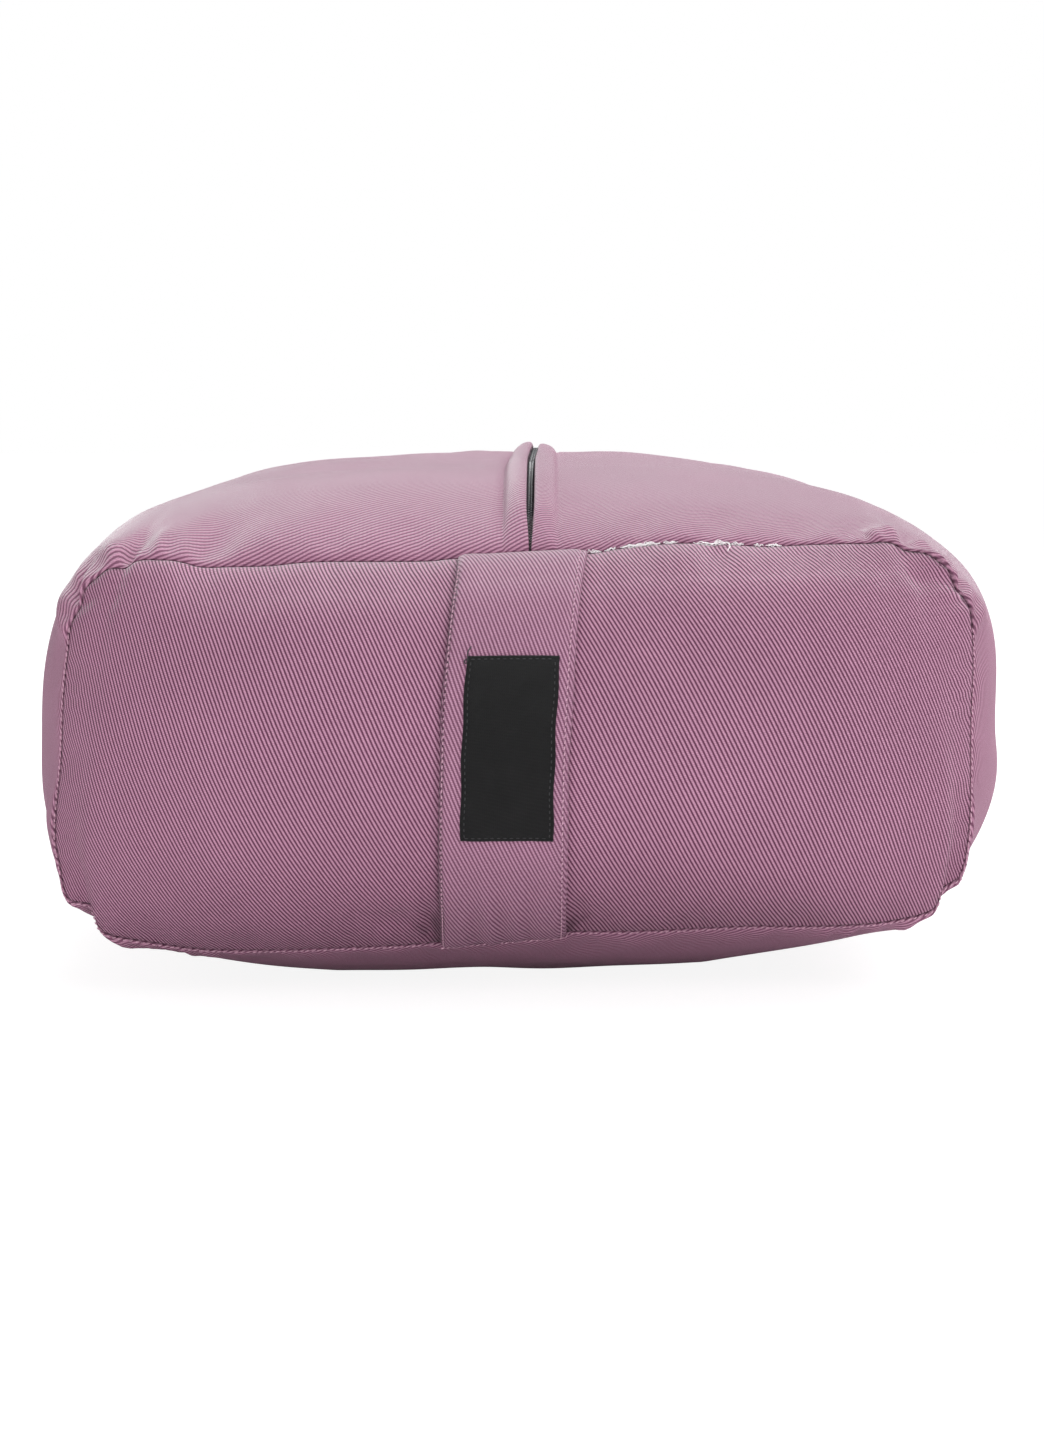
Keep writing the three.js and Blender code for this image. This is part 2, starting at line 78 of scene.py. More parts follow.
# %% The four sides of the end seam, as points x, z in millimetres
SEAM_POINTS = {
    "left": ((-138.4, 30.2), (-139.3, 32.9), (-139.9, 36.6), (-140.4, 40.4), (-141.1, 44.4),
             (-141.5, 48.4), (-141.3, 54.9), (-140.5, 62.3), (-139.7, 69.3), (-139.1, 77.0),
             (-138.6, 88.1), (-138.2, 93.9), (-137.5, 100.6), (-136.7, 106.7), (-136.3, 111.0),
             (-135.5, 114.3), (-134.2, 116.6), (-132.8, 118.9), (-132.1, 121.3), (-131.8, 123.3),
             (-131.0, 124.9), (-130.1, 126.0)),
    "top": ((-130.1, 126.0), (-127.6, 128.1), (-125.2, 130.1), (-123.0, 130.8), (-120.6, 130.7),
            (-119.0, 130.8), (-117.6, 131.8), (-115.8, 133.0), (-112.7, 133.4), (-108.8, 133.3),
            (-104.6, 133.1), (-100.6, 132.2), (-97.6, 131.3), (-93.7, 131.0), (-88.3, 131.2), (-81.6, 131.3),
            (-74.4, 131.6), (-65.9, 132.5), (-56.2, 132.8), (-38.1, 132.8), (-27.2, 133.0), (-19.6, 133.7),
            (0.0, 134.5), (21.1, 135.3), (29.0, 136.6), (39.9, 137.9), (50.7, 138.4), (57.4, 137.9),
            (61.9, 138.1), (68.9, 137.6), (76.1, 137.4), (87.0, 137.9), (97.9, 138.2), (105.1, 138.3),
            (109.9, 138.7), (113.0, 138.0), (115.4, 136.5), (118.4, 135.8), (121.5, 135.5), (123.9, 134.5),
            (126.6, 132.7), (128.2, 131.5), (129.2, 130.3)),
    "right": ((134.2, 36.2), (134.9, 38.6), (135.7, 41.6), (136.2, 45.9), (136.8, 52.1), (137.0, 60.1),
              (136.9, 70.0), (136.8, 81.0), (136.9, 90.8), (137.2, 99.4), (137.1, 106.7),
              (136.7, 112.8), (136.1, 117.3), (135.1, 120.2), (133.5, 122.4), (131.9, 124.0),
              (130.9, 126.0), (130.1, 128.3), (129.2, 130.3)),
    "bottom": ((-138.4, 30.2), (-136.9, 29.0), (-134.6, 28.6), (-132.4, 28.4), (-130.9, 27.6), (-130.1, 25.4),
               (-129.3, 22.6), (-128.2, 20.4), (-126.0, 18.9), (-122.2, 17.9), (-114.5, 16.6), (-107.2, 15.5),
               (-96.2, 14.2), (-81.5, 13.9), (-66.8, 14.2), (-52.1, 14.8), (-37.4, 15.4), (-26.3, 16.2),
               (-6.1, 18.0), (14.7, 19.6), (33.0, 19.8), (51.4, 20.5), (69.8, 21.4), (84.5, 21.3),
               (99.1, 21.6), (110.1, 22.4), (117.5, 23.7), (122.7, 25.0), (126.2, 26.6), (127.5, 28.6),
               (128.1, 31.0), (129.1, 33.2), (131.4, 34.6), (134.2, 36.2)),
}
SIDE_POINTS = 900
PANEL_HEIGHT = 118.0
PANEL_MIDDLE_Z = 75.0


def evenly(points, count):
    """Points at even arc length along a broken line."""
    step = np.linalg.norm(np.diff(points, axis=0), axis=1)
    run = np.concatenate([[0.0], np.cumsum(step)])
    share = np.linspace(0.0, run[-1], count)
    return np.stack([np.interp(share, run, points[:, k]) for k in range(points.shape[1])], axis=1)


def smooth_curve(points, count):
    """A Catmull-Rom curve through points, read at even arc length."""
    p = np.array(points, dtype=float)
    p = np.concatenate([[2 * p[0] - p[1]], p, [2 * p[-1] - p[-2]]])
    t = np.linspace(0, 1, 12, endpoint=False)[:, None]
    parts = []
    for a, b, c, d in zip(p[:-3], p[1:-2], p[2:-1], p[3:]):
        parts.append(0.5 * (2 * b + (c - a) * t + (2 * a - 5 * b + 4 * c - d) * t ** 2
                            + (3 * b - a - 3 * c + d) * t ** 3))
    parts.append(p[-2][None, :])
    return evenly(np.concatenate(parts), count)


FRONT = {side: smooth_curve(points, SIDE_POINTS) for side, points in SEAM_POINTS.items()}
TURN = np.array([-1.0, 1.0])
BACK = {
    "bottom": FRONT["bottom"][::-1] * TURN,
    "right": FRONT["left"] * TURN,
    "top": FRONT["top"][::-1] * TURN,
    "left": FRONT["right"] * TURN,
}
print("length of the four sides:", {
    side: round(float(np.linalg.norm(np.diff(points, axis=0), axis=1).sum()), 1)
    for side, points in FRONT.items()})

# %% [markdown]
# ## Folds and puckers
# Behind each caught fold a groove runs back in the wrap. Puckers are smaller: they run away from
# the seam where more cloth was fed in than the seam takes. Both are humps along the seam whose
# depth fades with distance, held in short tables.

# %% Tables of folds and puckers
# x and z on the seam, depth, half width and reach of the groove, all in mm
CAUGHT_FOLDS = ((-131.6, 26.4, 7.0, 6.0, 62.0), (130.6, 33.0, 5.0, 5.5, 46.0))

# side, place along it, depth in the wrap, depth in the panel, half width, reach, slant
PUCKERS = (
    ("top", -119.6, 2.7, 0.1, 3.2, 34.0, 0.1),
    ("top", -111.0, -0.9, 0.0, 4.0, 26.0, 0.0),
    ("top", -124.5, -1.1, 0.0, 3.2, 24.0, -0.1),
    ("top", -95.5, 1.9, 0.5, 8.0, 40.0, 0.15),
    ("top", -78.0, -0.9, 0.2, 9.0, 34.0, 0.1),
    ("top", -58.0, 0.7, 0.4, 6.0, 26.0, 0.1),
    ("top", -33.0, 0.5, 0.3, 5.0, 20.0, 0.0),
    ("top", 36.0, 0.5, 0.5, 6.0, 20.0, 0.1),
    ("top", 60.0, 0.9, 0.9, 5.0, 26.0, 0.1),
    ("top", 84.0, 0.7, 0.5, 6.0, 26.0, 0.2),
    ("top", 101.0, 0.9, 0.4, 5.0, 30.0, 0.3),
    ("top", 116.0, 2.2, 0.4, 3.6, 34.0, 0.35),
    ("top", 109.5, -0.9, 0.0, 3.4, 26.0, 0.3),
    ("top", 124.6, 1.4, 0.2, 3.0, 26.0, 0.2),
    ("left", 119.6, 2.7, 0.1, 3.0, 28.0, 0.4),
    ("left", 111.5, -1.0, 0.0, 3.6, 24.0, 0.1),
    ("left", 98.0, 0.6, 0.4, 6.0, 26.0, 0.0),
    ("left", 74.0, 0.5, 0.5, 7.0, 30.0, 0.0),
    ("left", 50.0, 1.0, 0.5, 7.0, 36.0, 0.1),
    ("left", 36.0, 0.8, 0.4, 4.0, 24.0, -0.1),
    ("right", 123.0, 2.3, 0.4, 3.4, 28.0, 0.3),
    ("right", 114.0, -0.8, 0.0, 4.0, 24.0, 0.1),
    ("right", 104.0, 0.8, 0.4, 5.0, 30.0, 0.1),
    ("right", 84.0, 0.7, 0.5, 8.0, 36.0, 0.0),
    ("right", 58.0, 0.7, 0.5, 7.0, 36.0, 0.0),
    ("right", 41.0, 0.8, 0.4, 4.0, 24.0, -0.1),
    ("bottom", -112.0, 0.9, 0.5, 6.0, 26.0, 0.0),
    ("bottom", -84.0, 0.9, 0.6, 8.0, 24.0, 0.0),
    ("bottom", -50.0, 0.6, 0.5, 6.0, 20.0, 0.0),
    ("bottom", -31.0, 0.9, 0.5, 6.5, 20.0, 0.1),
    ("bottom", 21.0, 1.0, 0.5, 6.5, 22.0, -0.1),
    ("bottom", 52.0, 0.9, 0.6, 8.0, 24.0, 0.0),
    ("bottom", 84.0, 0.8, 0.5, 7.0, 24.0, 0.0),
    ("bottom", 112.0, 1.1, 0.5, 5.0, 26.0, 0.0),
)
PUCKER_DEEPEST_AT = 7.0

# x and z on the seam, spread along it, height, distance back, half width: cloth rolled up beside the seam
ROLLS = (
    (112.0, 138.0, 7.0, 1.3, 5.0, 3.4), (121.0, 133.0, 6.0, 1.5, 6.0, 3.6),
    (132.0, 122.0, 7.0, 1.5, 6.0, 3.6),
    (-124.0, 129.0, 6.0, 1.0, 6.0, 4.0), (-134.0, 114.0, 5.0, 0.9, 6.0, 4.0),
    (-125.5, 19.0, 4.0, 0.7, 2.6, 2.4), (-100.0, 14.5, 20.0, 0.2, 3.0, 2.6),
    (118.0, 25.0, 17.0, 0.9, 3.4, 2.8),
)
# x and z on the seam, spread and height of a corner that the filling pushes out further
SHOULDERS = ((-130.0, 119.0, 15.0, 3.8), (134.0, 42.0, 12.0, 1.4), (-140.0, 46.0, 16.0, 2.4),
             (137.0, 113.0, 16.0, 1.7))
SHOULDER_RISES = (0.0, 13.0)
SHOULDER_FADES = (46.0, 150.0)


def hump(distance, half):
    """A bell curve that is 1 at the middle and 1/e at half."""
    return np.exp(-((distance / half) ** 2))


def ease(value, low, high):
    """0 below low, 1 above high, and an S-curve between."""
    share = np.clip((value - low) / (high - low), 0.0, 1.0)
    return share * share * (3 - 2 * share)


def puff(run, reach):
    """Swelling beside a seam: it climbs from 0 to 1 at the reach and then dies away."""
    return run / reach * np.exp(1 - run / reach)


print(len(PUCKERS), "puckers and", len(CAUGHT_FOLDS), "caught folds")

# %% [markdown]
# ## The section half way along
# Filled cloth bulges into a rounded block. Its section is made of superellipses that meet at the
# belly line, fuller on top than below, and the floor presses the base flat.

# %% Section half way along
WIDTH = 306.0
HEIGHT = 161.4
TOP_TILT = 0.9
MIDDLE_SHIFT = 1.3
BELLY_Z = 72.0
TOP_ROUNDNESS = {"left": 3.12, "right": 3.02}
BASE_ROUNDNESS = {"left": 2.65, "right": 2.15}
BASE_PRESSED = {"left": 2.0, "right": 4.0}
FLOOR_PRESSES = 0.45


def section_side(first, last):
    """Superellipse x = half width |cos|^(2/n), z = reach |sin|^(2/n), with its own n below and above."""
    angle = np.linspace(first, last, 2400)
    cos, sin = np.cos(angle), np.sin(angle)
    top, base, pressed = (np.where(cos < 0, each["left"], each["right"])
                          for each in (TOP_ROUNDNESS, BASE_ROUNDNESS, BASE_PRESSED))
    roundness = np.where(sin > 0, top, base)
    reach = np.where(sin > 0, HEIGHT - BELLY_Z, BELLY_Z + pressed)
    x = WIDTH / 2 * np.sign(cos) * np.abs(cos) ** (2 / roundness)
    z = BELLY_Z + reach * np.sign(sin) * np.abs(sin) ** (2 / roundness)
    z = z - TOP_TILT * x / (WIDTH / 2) * np.clip(sin, 0.0, 1.0)
    return evenly(np.stack([x + MIDDLE_SHIFT, np.maximum(z, 0.0)], axis=1), SIDE_POINTS)


EIGHTH = math.pi / 4
MIDDLE = {
    "bottom": section_side(5 * EIGHTH, 7 * EIGHTH),
    "right": section_side(-EIGHTH, EIGHTH),
    "top": section_side(3 * EIGHTH, EIGHTH),
    "left": section_side(5 * EIGHTH, 3 * EIGHTH),
}
around = sum(np.linalg.norm(np.diff(side, axis=0), axis=1).sum() for side in MIDDLE.values())
print("cloth around the middle:", round(float(around), 1), "mm")

# %% [markdown]
# ## From the seam to the full section
# The cloth leaves the end seam at a slant and curves over within 88 mm. A quarter ellipse alone
# would leave the seam too steeply, so a share of it is exchanged for a power curve that meets the
# seam at an angle. The end panel does the same towards its own middle, and swells 41 mm past the
# seam. The seam leans: its foot lies 8 mm further in than its head.

# %% Swelling of the wrap and of the end panels
RIM = 88.0
PANEL_HALF_WIDTH = 139.0
RIM_SHARE = RIM / PANEL_HALF_WIDTH
END_BULGE = 41.0
RIM_SLANT = {"across": 0.6, "up": 0.5}
RIM_SLANT_POWER = 2.4
SEAM_LEAN = 8.0
LEAN_FADES_OVER = 150.0
LENGTHWISE_SWELL = 0.05
WRAP_SLANT = 0.4


def along(points, share):
    """The point at a share from 0 to 1 of a side, for a whole array of shares."""
    grid = np.linspace(0.0, 1.0, len(points))
    return np.stack([np.interp(share, grid, points[:, 0]), np.interp(share, grid, points[:, 1])], axis=-1)


def patch(sides, s, w):
    """The surface bounded by four sides, s across and w up from -1 to 1: two ruled surfaces less their
    corners."""
    a, b = (s + 1) / 2, (w + 1) / 2
    foot, head = along(sides["bottom"], a), along(sides["top"], a)
    left, right = along(sides["left"], b), along(sides["right"], b)
    a, b = a[..., None], b[..., None]
    corners = ((1 - a) * (1 - b) * sides["bottom"][0] + a * (1 - b) * sides["bottom"][-1]
               + (1 - a) * b * sides["top"][0] + a * b * sides["top"][-1])
    return (1 - b) * foot + b * head + (1 - a) * left + a * right - corners


def slanted_ellipse(share, slant):
    """Swelling against the share of the way to the rim: part quarter ellipse, part power curve that
    meets it slanted."""
    upright = np.sqrt(np.clip(1 - share * share, 0.0, 1.0))
    return (1 - slant) * upright + slant * (1 - share ** RIM_SLANT_POWER)


def swell(distance):
    """Share of the way to the full section: a slanted ellipse over the rim and a slow parabola over all."""
    over = 1 - np.clip(distance / RIM, 0.0, 1.0)
    whole = 1 - (1 - distance / SEAM_Y) ** 2
    return (1 - LENGTHWISE_SWELL) * slanted_ellipse(over, WRAP_SLANT) + LENGTHWISE_SWELL * whole


def bulge(s, w):
    """Share of the end panel's full swelling: the slanted ellipse in from the rim, across and up."""
    rim = np.clip((np.abs(s) - (1 - RIM_SHARE)) / RIM_SHARE, 0.0, 1.0)
    return slanted_ellipse(rim, RIM_SLANT["across"]) * slanted_ellipse(np.abs(w), RIM_SLANT["up"])


def lean_at(z):
    """How far the seam is set back at a height, less above the middle and more below."""
    return SEAM_LEAN * (PANEL_MIDDLE_Z - z) / PANEL_HEIGHT


print("share of the full section 5, 20 and 60 mm from a seam:",
      [round(float(swell(np.array(d))), 2) for d in (5.0, 20.0, 60.0)])

# %% [markdown]
# ## Putting a grid into a mesh
# Every piece is a grid of points worked out at once. Its faces are quads between neighbouring
# rows and columns. Each corner of a face also gets its place on the flat cloth, in millimetres,
# as the UV map `cloth`, so that the weave follows the cloth when it curves.

# %% Grid and mesh helpers
def grid_quads(rows, columns, closed=False):
    """Corner numbers of the quads of a grid; a closed grid joins its last column to its first."""
    row = np.arange(rows - 1)[:, None]
    column = np.arange(columns if closed else columns - 1)[None, :]
    on = (column + 1) % columns
    return np.stack([row * columns + column, row * columns + on,
                     (row + 1) * columns + on, (row + 1) * columns + column], axis=-1).reshape(-1, 4)


def new_piece(name, points, faces, cloth=None, seam=None):
    """A smooth object from points in mm and faces, with UV places per face corner and seam places per
    point."""
    mesh = bpy.data.meshes.new(name)
    lifted = (np.asarray(points, dtype=float) + [0.0, BODY_Y, 0.0]) * MM
    mesh.from_pydata(lifted.tolist(), [], [list(map(int, face)) for face in faces])
    mesh.polygons.foreach_set("use_smooth", np.ones(len(mesh.polygons), dtype=bool))
    if cloth is not None:
        layer = mesh.uv_layers.new(name="cloth")
        layer.data.foreach_set("uv", np.asarray(cloth, dtype=np.float32).ravel())
    if seam is not None:
        places = mesh.attributes.new("seam", "FLOAT_VECTOR", "POINT")
        places.data.foreach_set("vector", np.asarray(seam, dtype=np.float32).ravel())
    mesh.update()
    piece = bpy.data.objects.new(name, mesh)
    bpy.context.scene.collection.objects.link(piece)
    return piece


def grid_normals(points, closed=False):
    """Unit normals of a grid of points, from the cross product of its two directions."""
    if closed:
        across = np.roll(points, -1, axis=1) - np.roll(points, 1, axis=1)
    else:
        across = np.gradient(points, axis=1)
    down = np.gradient(points, axis=0)
    normal = np.cross(across, down)
    return normal / np.maximum(np.linalg.norm(normal, axis=-1, keepdims=True), 1e-9)


def running_length(points, axis):
    """Length along a grid direction, from the first row or column to each point."""
    step = np.linalg.norm(np.diff(points, axis=axis), axis=-1)
    run = np.cumsum(step, axis=axis)
    pad = [(0, 0), (0, 0)]
    pad[axis] = (1, 0)
    return np.pad(run, pad)


def path_run(points):
    """Length along a path of points, from its start to each of them."""
    return np.concatenate([[0.0], np.cumsum(np.linalg.norm(np.diff(points, axis=0), axis=1))])


def waves(u, v, length, seed, count=14):
    """Soft unevenness about 1 high: cosines of random direction and phase, all near one wavelength."""
    wild = np.random.default_rng(seed)
    angle, phase = wild.uniform(0, 2 * math.pi, (2, count))
    size = length * wild.uniform(0.7, 1.6, count)
    total = sum(np.cos(2 * math.pi * (u * math.cos(a) + v * math.sin(a)) / l + p)
                for a, p, l in zip(angle, phase, size))
    return total / math.sqrt(count / 2)


# %% [markdown]
# ## The wrap
# The wrap is one strip of twill. Its two long edges are folded under and sewn to the zip, so they
# stand up as two rounded lips with a narrow slot between them. The surface is a tube of rings: a
# ring is the end outline moved towards the middle section by `swell`. Columns near the zip keep
# their distance from it, and the lips are a small curve of offset and height.

# %% Rows and columns of the wrap
ZIP_X_FRONT = 3.0
ZIP_X_BACK = 7.0
LIP_REACH = 9.8
LIP_SECTION = (
    (0.0, -0.7), (0.7, -0.7), (1.2, -0.3), (1.3, 0.6), (1.12, 1.6), (1.25, 2.4), (1.9, 2.95),
    (3.0, 3.05), (4.2, 2.85), (5.6, 2.4), (6.8, 1.7), (7.7, 0.6), (8.2, -0.35), (8.8, -0.3), (LIP_REACH, 0.0),
)
LIP_COLUMNS = 28
TOP_COLUMNS = 84
SIDE_COLUMNS = 90
BASE_COLUMNS = 150
SLOT_HALF_WIDTH = 1.12
SLOT_OPENS = (-7.0, 18.0)
LIP_SIZE = {-1.0: 1.1, 1.0: 0.96}
FRONT_ROWS = 64
MIDDLE_ROWS = 56
BACK_ROWS = 42


def crowded(count, ends, both=True):
    """Shares from 0 to 1, closer together towards both ends or towards 1 alone."""
    share = np.linspace(0.0, 1.0, count)
    turn = 2 * math.pi if both else math.pi
    return share - (ends if both else -ends) * np.sin(turn * share) / turn


def wrap_rows():
    """Distances back from the front seam: crowded at both seams, where the cloth curves over, and even
    between."""
    front, behind = (RIM * np.linspace(0.0, 1.0, count) ** 2 for count in (FRONT_ROWS, BACK_ROWS))
    between = np.linspace(RIM, 2 * SEAM_Y - RIM, MIDDLE_ROWS)[1:-1]
    return np.concatenate([front, between, 2 * SEAM_Y - behind[::-1]])


ROWS = wrap_rows()
NEAR = np.minimum(ROWS, 2 * SEAM_Y - ROWS)
LIP = smooth_curve(LIP_SECTION, LIP_COLUMNS)
print(len(ROWS), "rows, lips rise to", LIP[:, 1].max().round(2), "mm")


# %% A ring of cloth, plain and before its creases
def ring(side, share, back):
    """x and z of the cloth at a share of a side and a distance back from the front seam."""
    near = np.minimum(back, 2 * SEAM_Y - back)
    front = (back <= SEAM_Y)[..., None]
    end = np.where(front, along(FRONT[side], share), along(BACK[side], share))
    k = swell(near)[..., None]
    return end * (1 - k) + along(MIDDLE[side], share) * k, end


GROOVE_SLANT = 0.4


def grooves(end, near, front):
    """Depth of the grooves behind the caught folds; the back end has them mirrored."""
    total = np.zeros(near.shape)
    for x, z, depth, half, reach in CAUGHT_FOLDS:
        off = np.hypot(end[..., 0] - np.where(front, x, -x), end[..., 1] - z)
        total += depth * hump(off, half) * swell(near) * (1 - ease(near, 0.0, reach))
    return total


def wrap_surface(side, share):
    """Plain wrap for an array of shares with one row for each distance back: points, and the seam place."""
    back = np.broadcast_to(ROWS[:, None], share.shape)
    near = np.minimum(back, 2 * SEAM_Y - back)
    flat, end = ring(side, share, back)
    front = back <= SEAM_Y
    towards = np.stack([-flat[..., 0] * GROOVE_SLANT, PANEL_MIDDLE_Z - flat[..., 1]], axis=-1)
    towards /= np.linalg.norm(towards, axis=-1, keepdims=True)
    flat = flat + towards * grooves(end, near, front)[..., None]
    flat[..., 1] = np.maximum(flat[..., 1] - FLOOR_PRESSES * swell(near), 0.0)
    sign = np.where(front, 1.0, -1.0)
    lean = lean_at(end[..., 1]) * np.clip(1 - near / LEAN_FADES_OVER, 0.0, 1.0)
    points = np.stack([flat[..., 0], -SEAM_Y + back + sign * lean, flat[..., 1]], axis=-1)
    return points, end


# %% Columns of the top, with the lips of the zip
def top_shares():
    """Place of the zip line on the top of each row, and how much share a millimetre takes there."""
    low, high = (wrap_surface("top", np.full((len(ROWS), 1), share))[0][:, 0, 0] for share in (0.4, 0.6))
    per_mm = 0.2 / (high - low)
    zip_x = ZIP_X_FRONT + (ZIP_X_BACK - ZIP_X_FRONT) * ROWS / (2 * SEAM_Y)
    return 0.4 + (zip_x - low) * per_mm, per_mm


def lip_columns(direction):
    """Shares and lifts of the columns from the slot's middle outwards, on one side of the zip."""
    open_by = ease(NEAR, *SLOT_OPENS)[:, None]
    offset, height = LIP[:, 0][None, :], LIP[:, 1][None, :]
    closing = (SLOT_HALF_WIDTH - 0.12) * (1 - ease(offset, 1.3, 6.0))
    offset = np.maximum(offset - closing * (1 - open_by) * np.clip(offset / 1.0, 0, 1), 0.0)
    stands = 0.3 + 0.7 * ease(NEAR, 0.0, 16.0)[:, None]
    uneven = 1 + 0.12 * waves(ROWS[:, None], np.full_like(ROWS[:, None], 9.0 * direction), 46.0, 3)
    size = LIP_SIZE[direction] * stands * uneven
    middle, per_mm = top_shares()
    return middle[:, None] + direction * offset * per_mm[:, None], height * size


right_lip, right_lift = lip_columns(1.0)
left_lip, left_lift = lip_columns(-1.0)
outwards = crowded(TOP_COLUMNS + 1, 0.35, both=False)[None, 1:]
inwards = 1 - crowded(TOP_COLUMNS + 1, 0.35, both=False)[None, ::-1][:, 1:]
one_row = np.ones((len(ROWS), 1))
sideways = one_row * crowded(SIDE_COLUMNS + 1, 0.35)[None, 1:]
segments = [
    ("top", right_lip, right_lift),
    ("top", right_lip[:, -1:] + (1 - right_lip[:, -1:]) * outwards, 0.0),
    ("right", 1 - sideways, 0.0),
    ("bottom", 1 - one_row * crowded(BASE_COLUMNS + 1, 0.45)[None, 1:], 0.0),
    ("left", sideways, 0.0),
    ("top", left_lip[:, -1:] * inwards, 0.0),
    ("top", left_lip[:, -2:0:-1], left_lift[:, -2:0:-1]),
]
parts, seam_ends, side_names, cap_s, cap_w = [], [], [], [], []
for side, share, lift in segments:
    points, end = wrap_surface(side, share)
    points[..., 2] += lift
    parts.append(points)
    seam_ends.append(end)
    side_names += [side] * share.shape[1]
    run = 2 * share[0] - 1
    cap_s.append({"top": run, "bottom": run, "left": -one_row[0] + 0 * run,
                  "right": one_row[0] + 0 * run}[side])
    cap_w.append({"top": 0 * run + 1, "bottom": 0 * run - 1, "left": run, "right": run}[side])
wrap = np.concatenate(parts, axis=1)
seam_place = np.concatenate(seam_ends, axis=1)
cap_s, cap_w = np.concatenate(cap_s), np.concatenate(cap_w)
side_names = np.array(side_names)
plain_wrap = wrap.copy()
print("wrap grid", wrap.shape[:2])

# %% [markdown]
# ## Where the weave lies on the wrap
# Cloth doesn't stretch much, so its threads are read off as lengths: around the middle section
# for the one direction, and back from the seam for the other.

# %% Cloth places of the wrap
closed_wrap = np.concatenate([wrap, wrap[:, :1]], axis=1)
half_way = len(ROWS) // 2
middle_u = running_length(closed_wrap[half_way:half_way + 1], 1)
middle_u = np.broadcast_to(middle_u, closed_wrap.shape[:2])[:, :-1]
wrap_u = running_length(closed_wrap, 1)
under_middle = int(np.argmin(np.abs(closed_wrap[half_way, :, 0]) + 10 * closed_wrap[half_way, :, 2]))
wrap_u = wrap_u - wrap_u[:, under_middle:under_middle + 1]
wrap_v = running_length(closed_wrap, 0)
print("cloth is", np.ptp(wrap_u, axis=1).max().round(1), "mm around and", wrap_v.max().round(1), "mm long")

# %% [markdown]
# ## Creases of the wrap
# The table's puckers start at the seam, are deepest a few millimetres in, and fade out over their
# reach. Finer gathers lie between the stitches where the cloth was eased in, mostly at the
# corners. Rolls and shoulders are humps of the same kind that stand out instead: small rolls where
# cloth is pushed up beside the seam, and broad shoulders where the filling presses into a corner.
# Long soft waves keep the filled surface from looking machined. Right at the seam the thread holds
# the cloth down, so beside it the cloth puffs forward in a small roll.

# %% Depth of the creases
def crease_depth(name_of_side, place, near):
    """Depth below the plain wrap of the table's puckers, for the columns of one side."""
    total = np.zeros_like(near)
    rise = puff(near, PUCKER_DEEPEST_AT)
    for at_side, at, depth, _, half, reach, slant in PUCKERS:
        if at_side == name_of_side:
            swing = place - at - slant * near
            fades = rise * (1 - ease(near, 0.4 * reach, reach))
            total += depth * hump(swing, half * (0.7 + near / reach)) * fades
    return total


# side, place along it, spread and size of the gathers
GATHERS = (("top", 122.0, 20.0, 0.85), ("right", 124.0, 16.0, 0.7), ("top", -122.0, 18.0, 0.6),
           ("left", 116.0, 16.0, 0.55), ("bottom", 112.0, 30.0, 0.6), ("bottom", -110.0, 34.0, 0.55),
           ("left", 34.0, 14.0, 0.4), ("right", 40.0, 14.0, 0.35),
           ("bottom", 0.0, 90.0, 0.28), ("top", 60.0, 60.0, 0.16), ("top", -60.0, 60.0, 0.14),
           ("left", 70.0, 50.0, 0.14), ("right", 80.0, 50.0, 0.12))
GATHER_PITCH = 8.6
GATHER_REACH = 20.0
# height, length and seed of the waves along the filled sides
SOFT_WAVES = ((0.75, 110.0, 5), (0.22, 42.0, 6))
SOFT_WAVES_RISE = (4.0, 60.0)
CALM_BY_THE_ZIP = (9.0, 26.0)

near_grid = np.broadcast_to(NEAR[:, None], wrap.shape[:2])
sign_grid = np.where(ROWS <= SEAM_Y, 1.0, -1.0)[:, None]
seam_run = running_length(np.concatenate([seam_place, seam_place[:, :1]], axis=1)[:1], 1)[0, :-1]
depth = np.zeros(wrap.shape[:2])
eased_in = np.zeros(wrap.shape[:2])
for name in SEAM_POINTS:
    columns = side_names == name
    level = name in ("top", "bottom")
    place = seam_place[:, columns, 0 if level else 1] * (sign_grid if level else 1.0)
    mirrored = {"left": "right", "right": "left"}.get(name, name)
    for half, seen in ((sign_grid > 0, name), (sign_grid < 0, mirrored)):
        depth[:, columns] += crease_depth(seen, place, near_grid[:, columns]) * half
        for at_side, at, spread, size in GATHERS:
            if at_side == seen:
                eased_in[:, columns] += size * hump(place - at, spread) * half
ripple = np.cos(2 * math.pi * (seam_run[None, :] + 0.3 * near_grid) / GATHER_PITCH
                + 1.6 * waves(seam_run[None, :], 0.0 * near_grid, 34.0, 11))
depth += eased_in * ripple * puff(near_grid, 3.0) * (1 - ease(near_grid, 0.3 * GATHER_REACH, GATHER_REACH))
seen_place = seam_place * np.stack([sign_grid, np.ones_like(sign_grid)], axis=-1)
for x, z, spread, height, back, half in ROLLS:
    round_it = hump(np.hypot(*np.moveaxis(seen_place - [x, z], -1, 0)), spread)
    depth -= height * round_it * hump(near_grid - back, half)
for x, z, spread, height in SHOULDERS:
    beside = ease(near_grid, *SHOULDER_RISES) * (1 - ease(near_grid, *SHOULDER_FADES))
    depth -= height * hump(np.hypot(*np.moveaxis(seen_place - [x, z], -1, 0)), spread) * beside
off_zip = ease(np.abs(wrap[..., 0] - (ZIP_X_FRONT + ZIP_X_BACK) / 2), *CALM_BY_THE_ZIP)
calm = np.where((side_names == "top")[None, :], off_zip, 1.0)
soft = sum(height * waves(middle_u, wrap_v[:, :-1], length, seed) for height, length, seed in SOFT_WAVES)
depth += ease(near_grid, *SOFT_WAVES_RISE) * calm * soft
print("creases go", depth.max().round(2), "mm in and", (-depth.min()).round(2), "mm out")

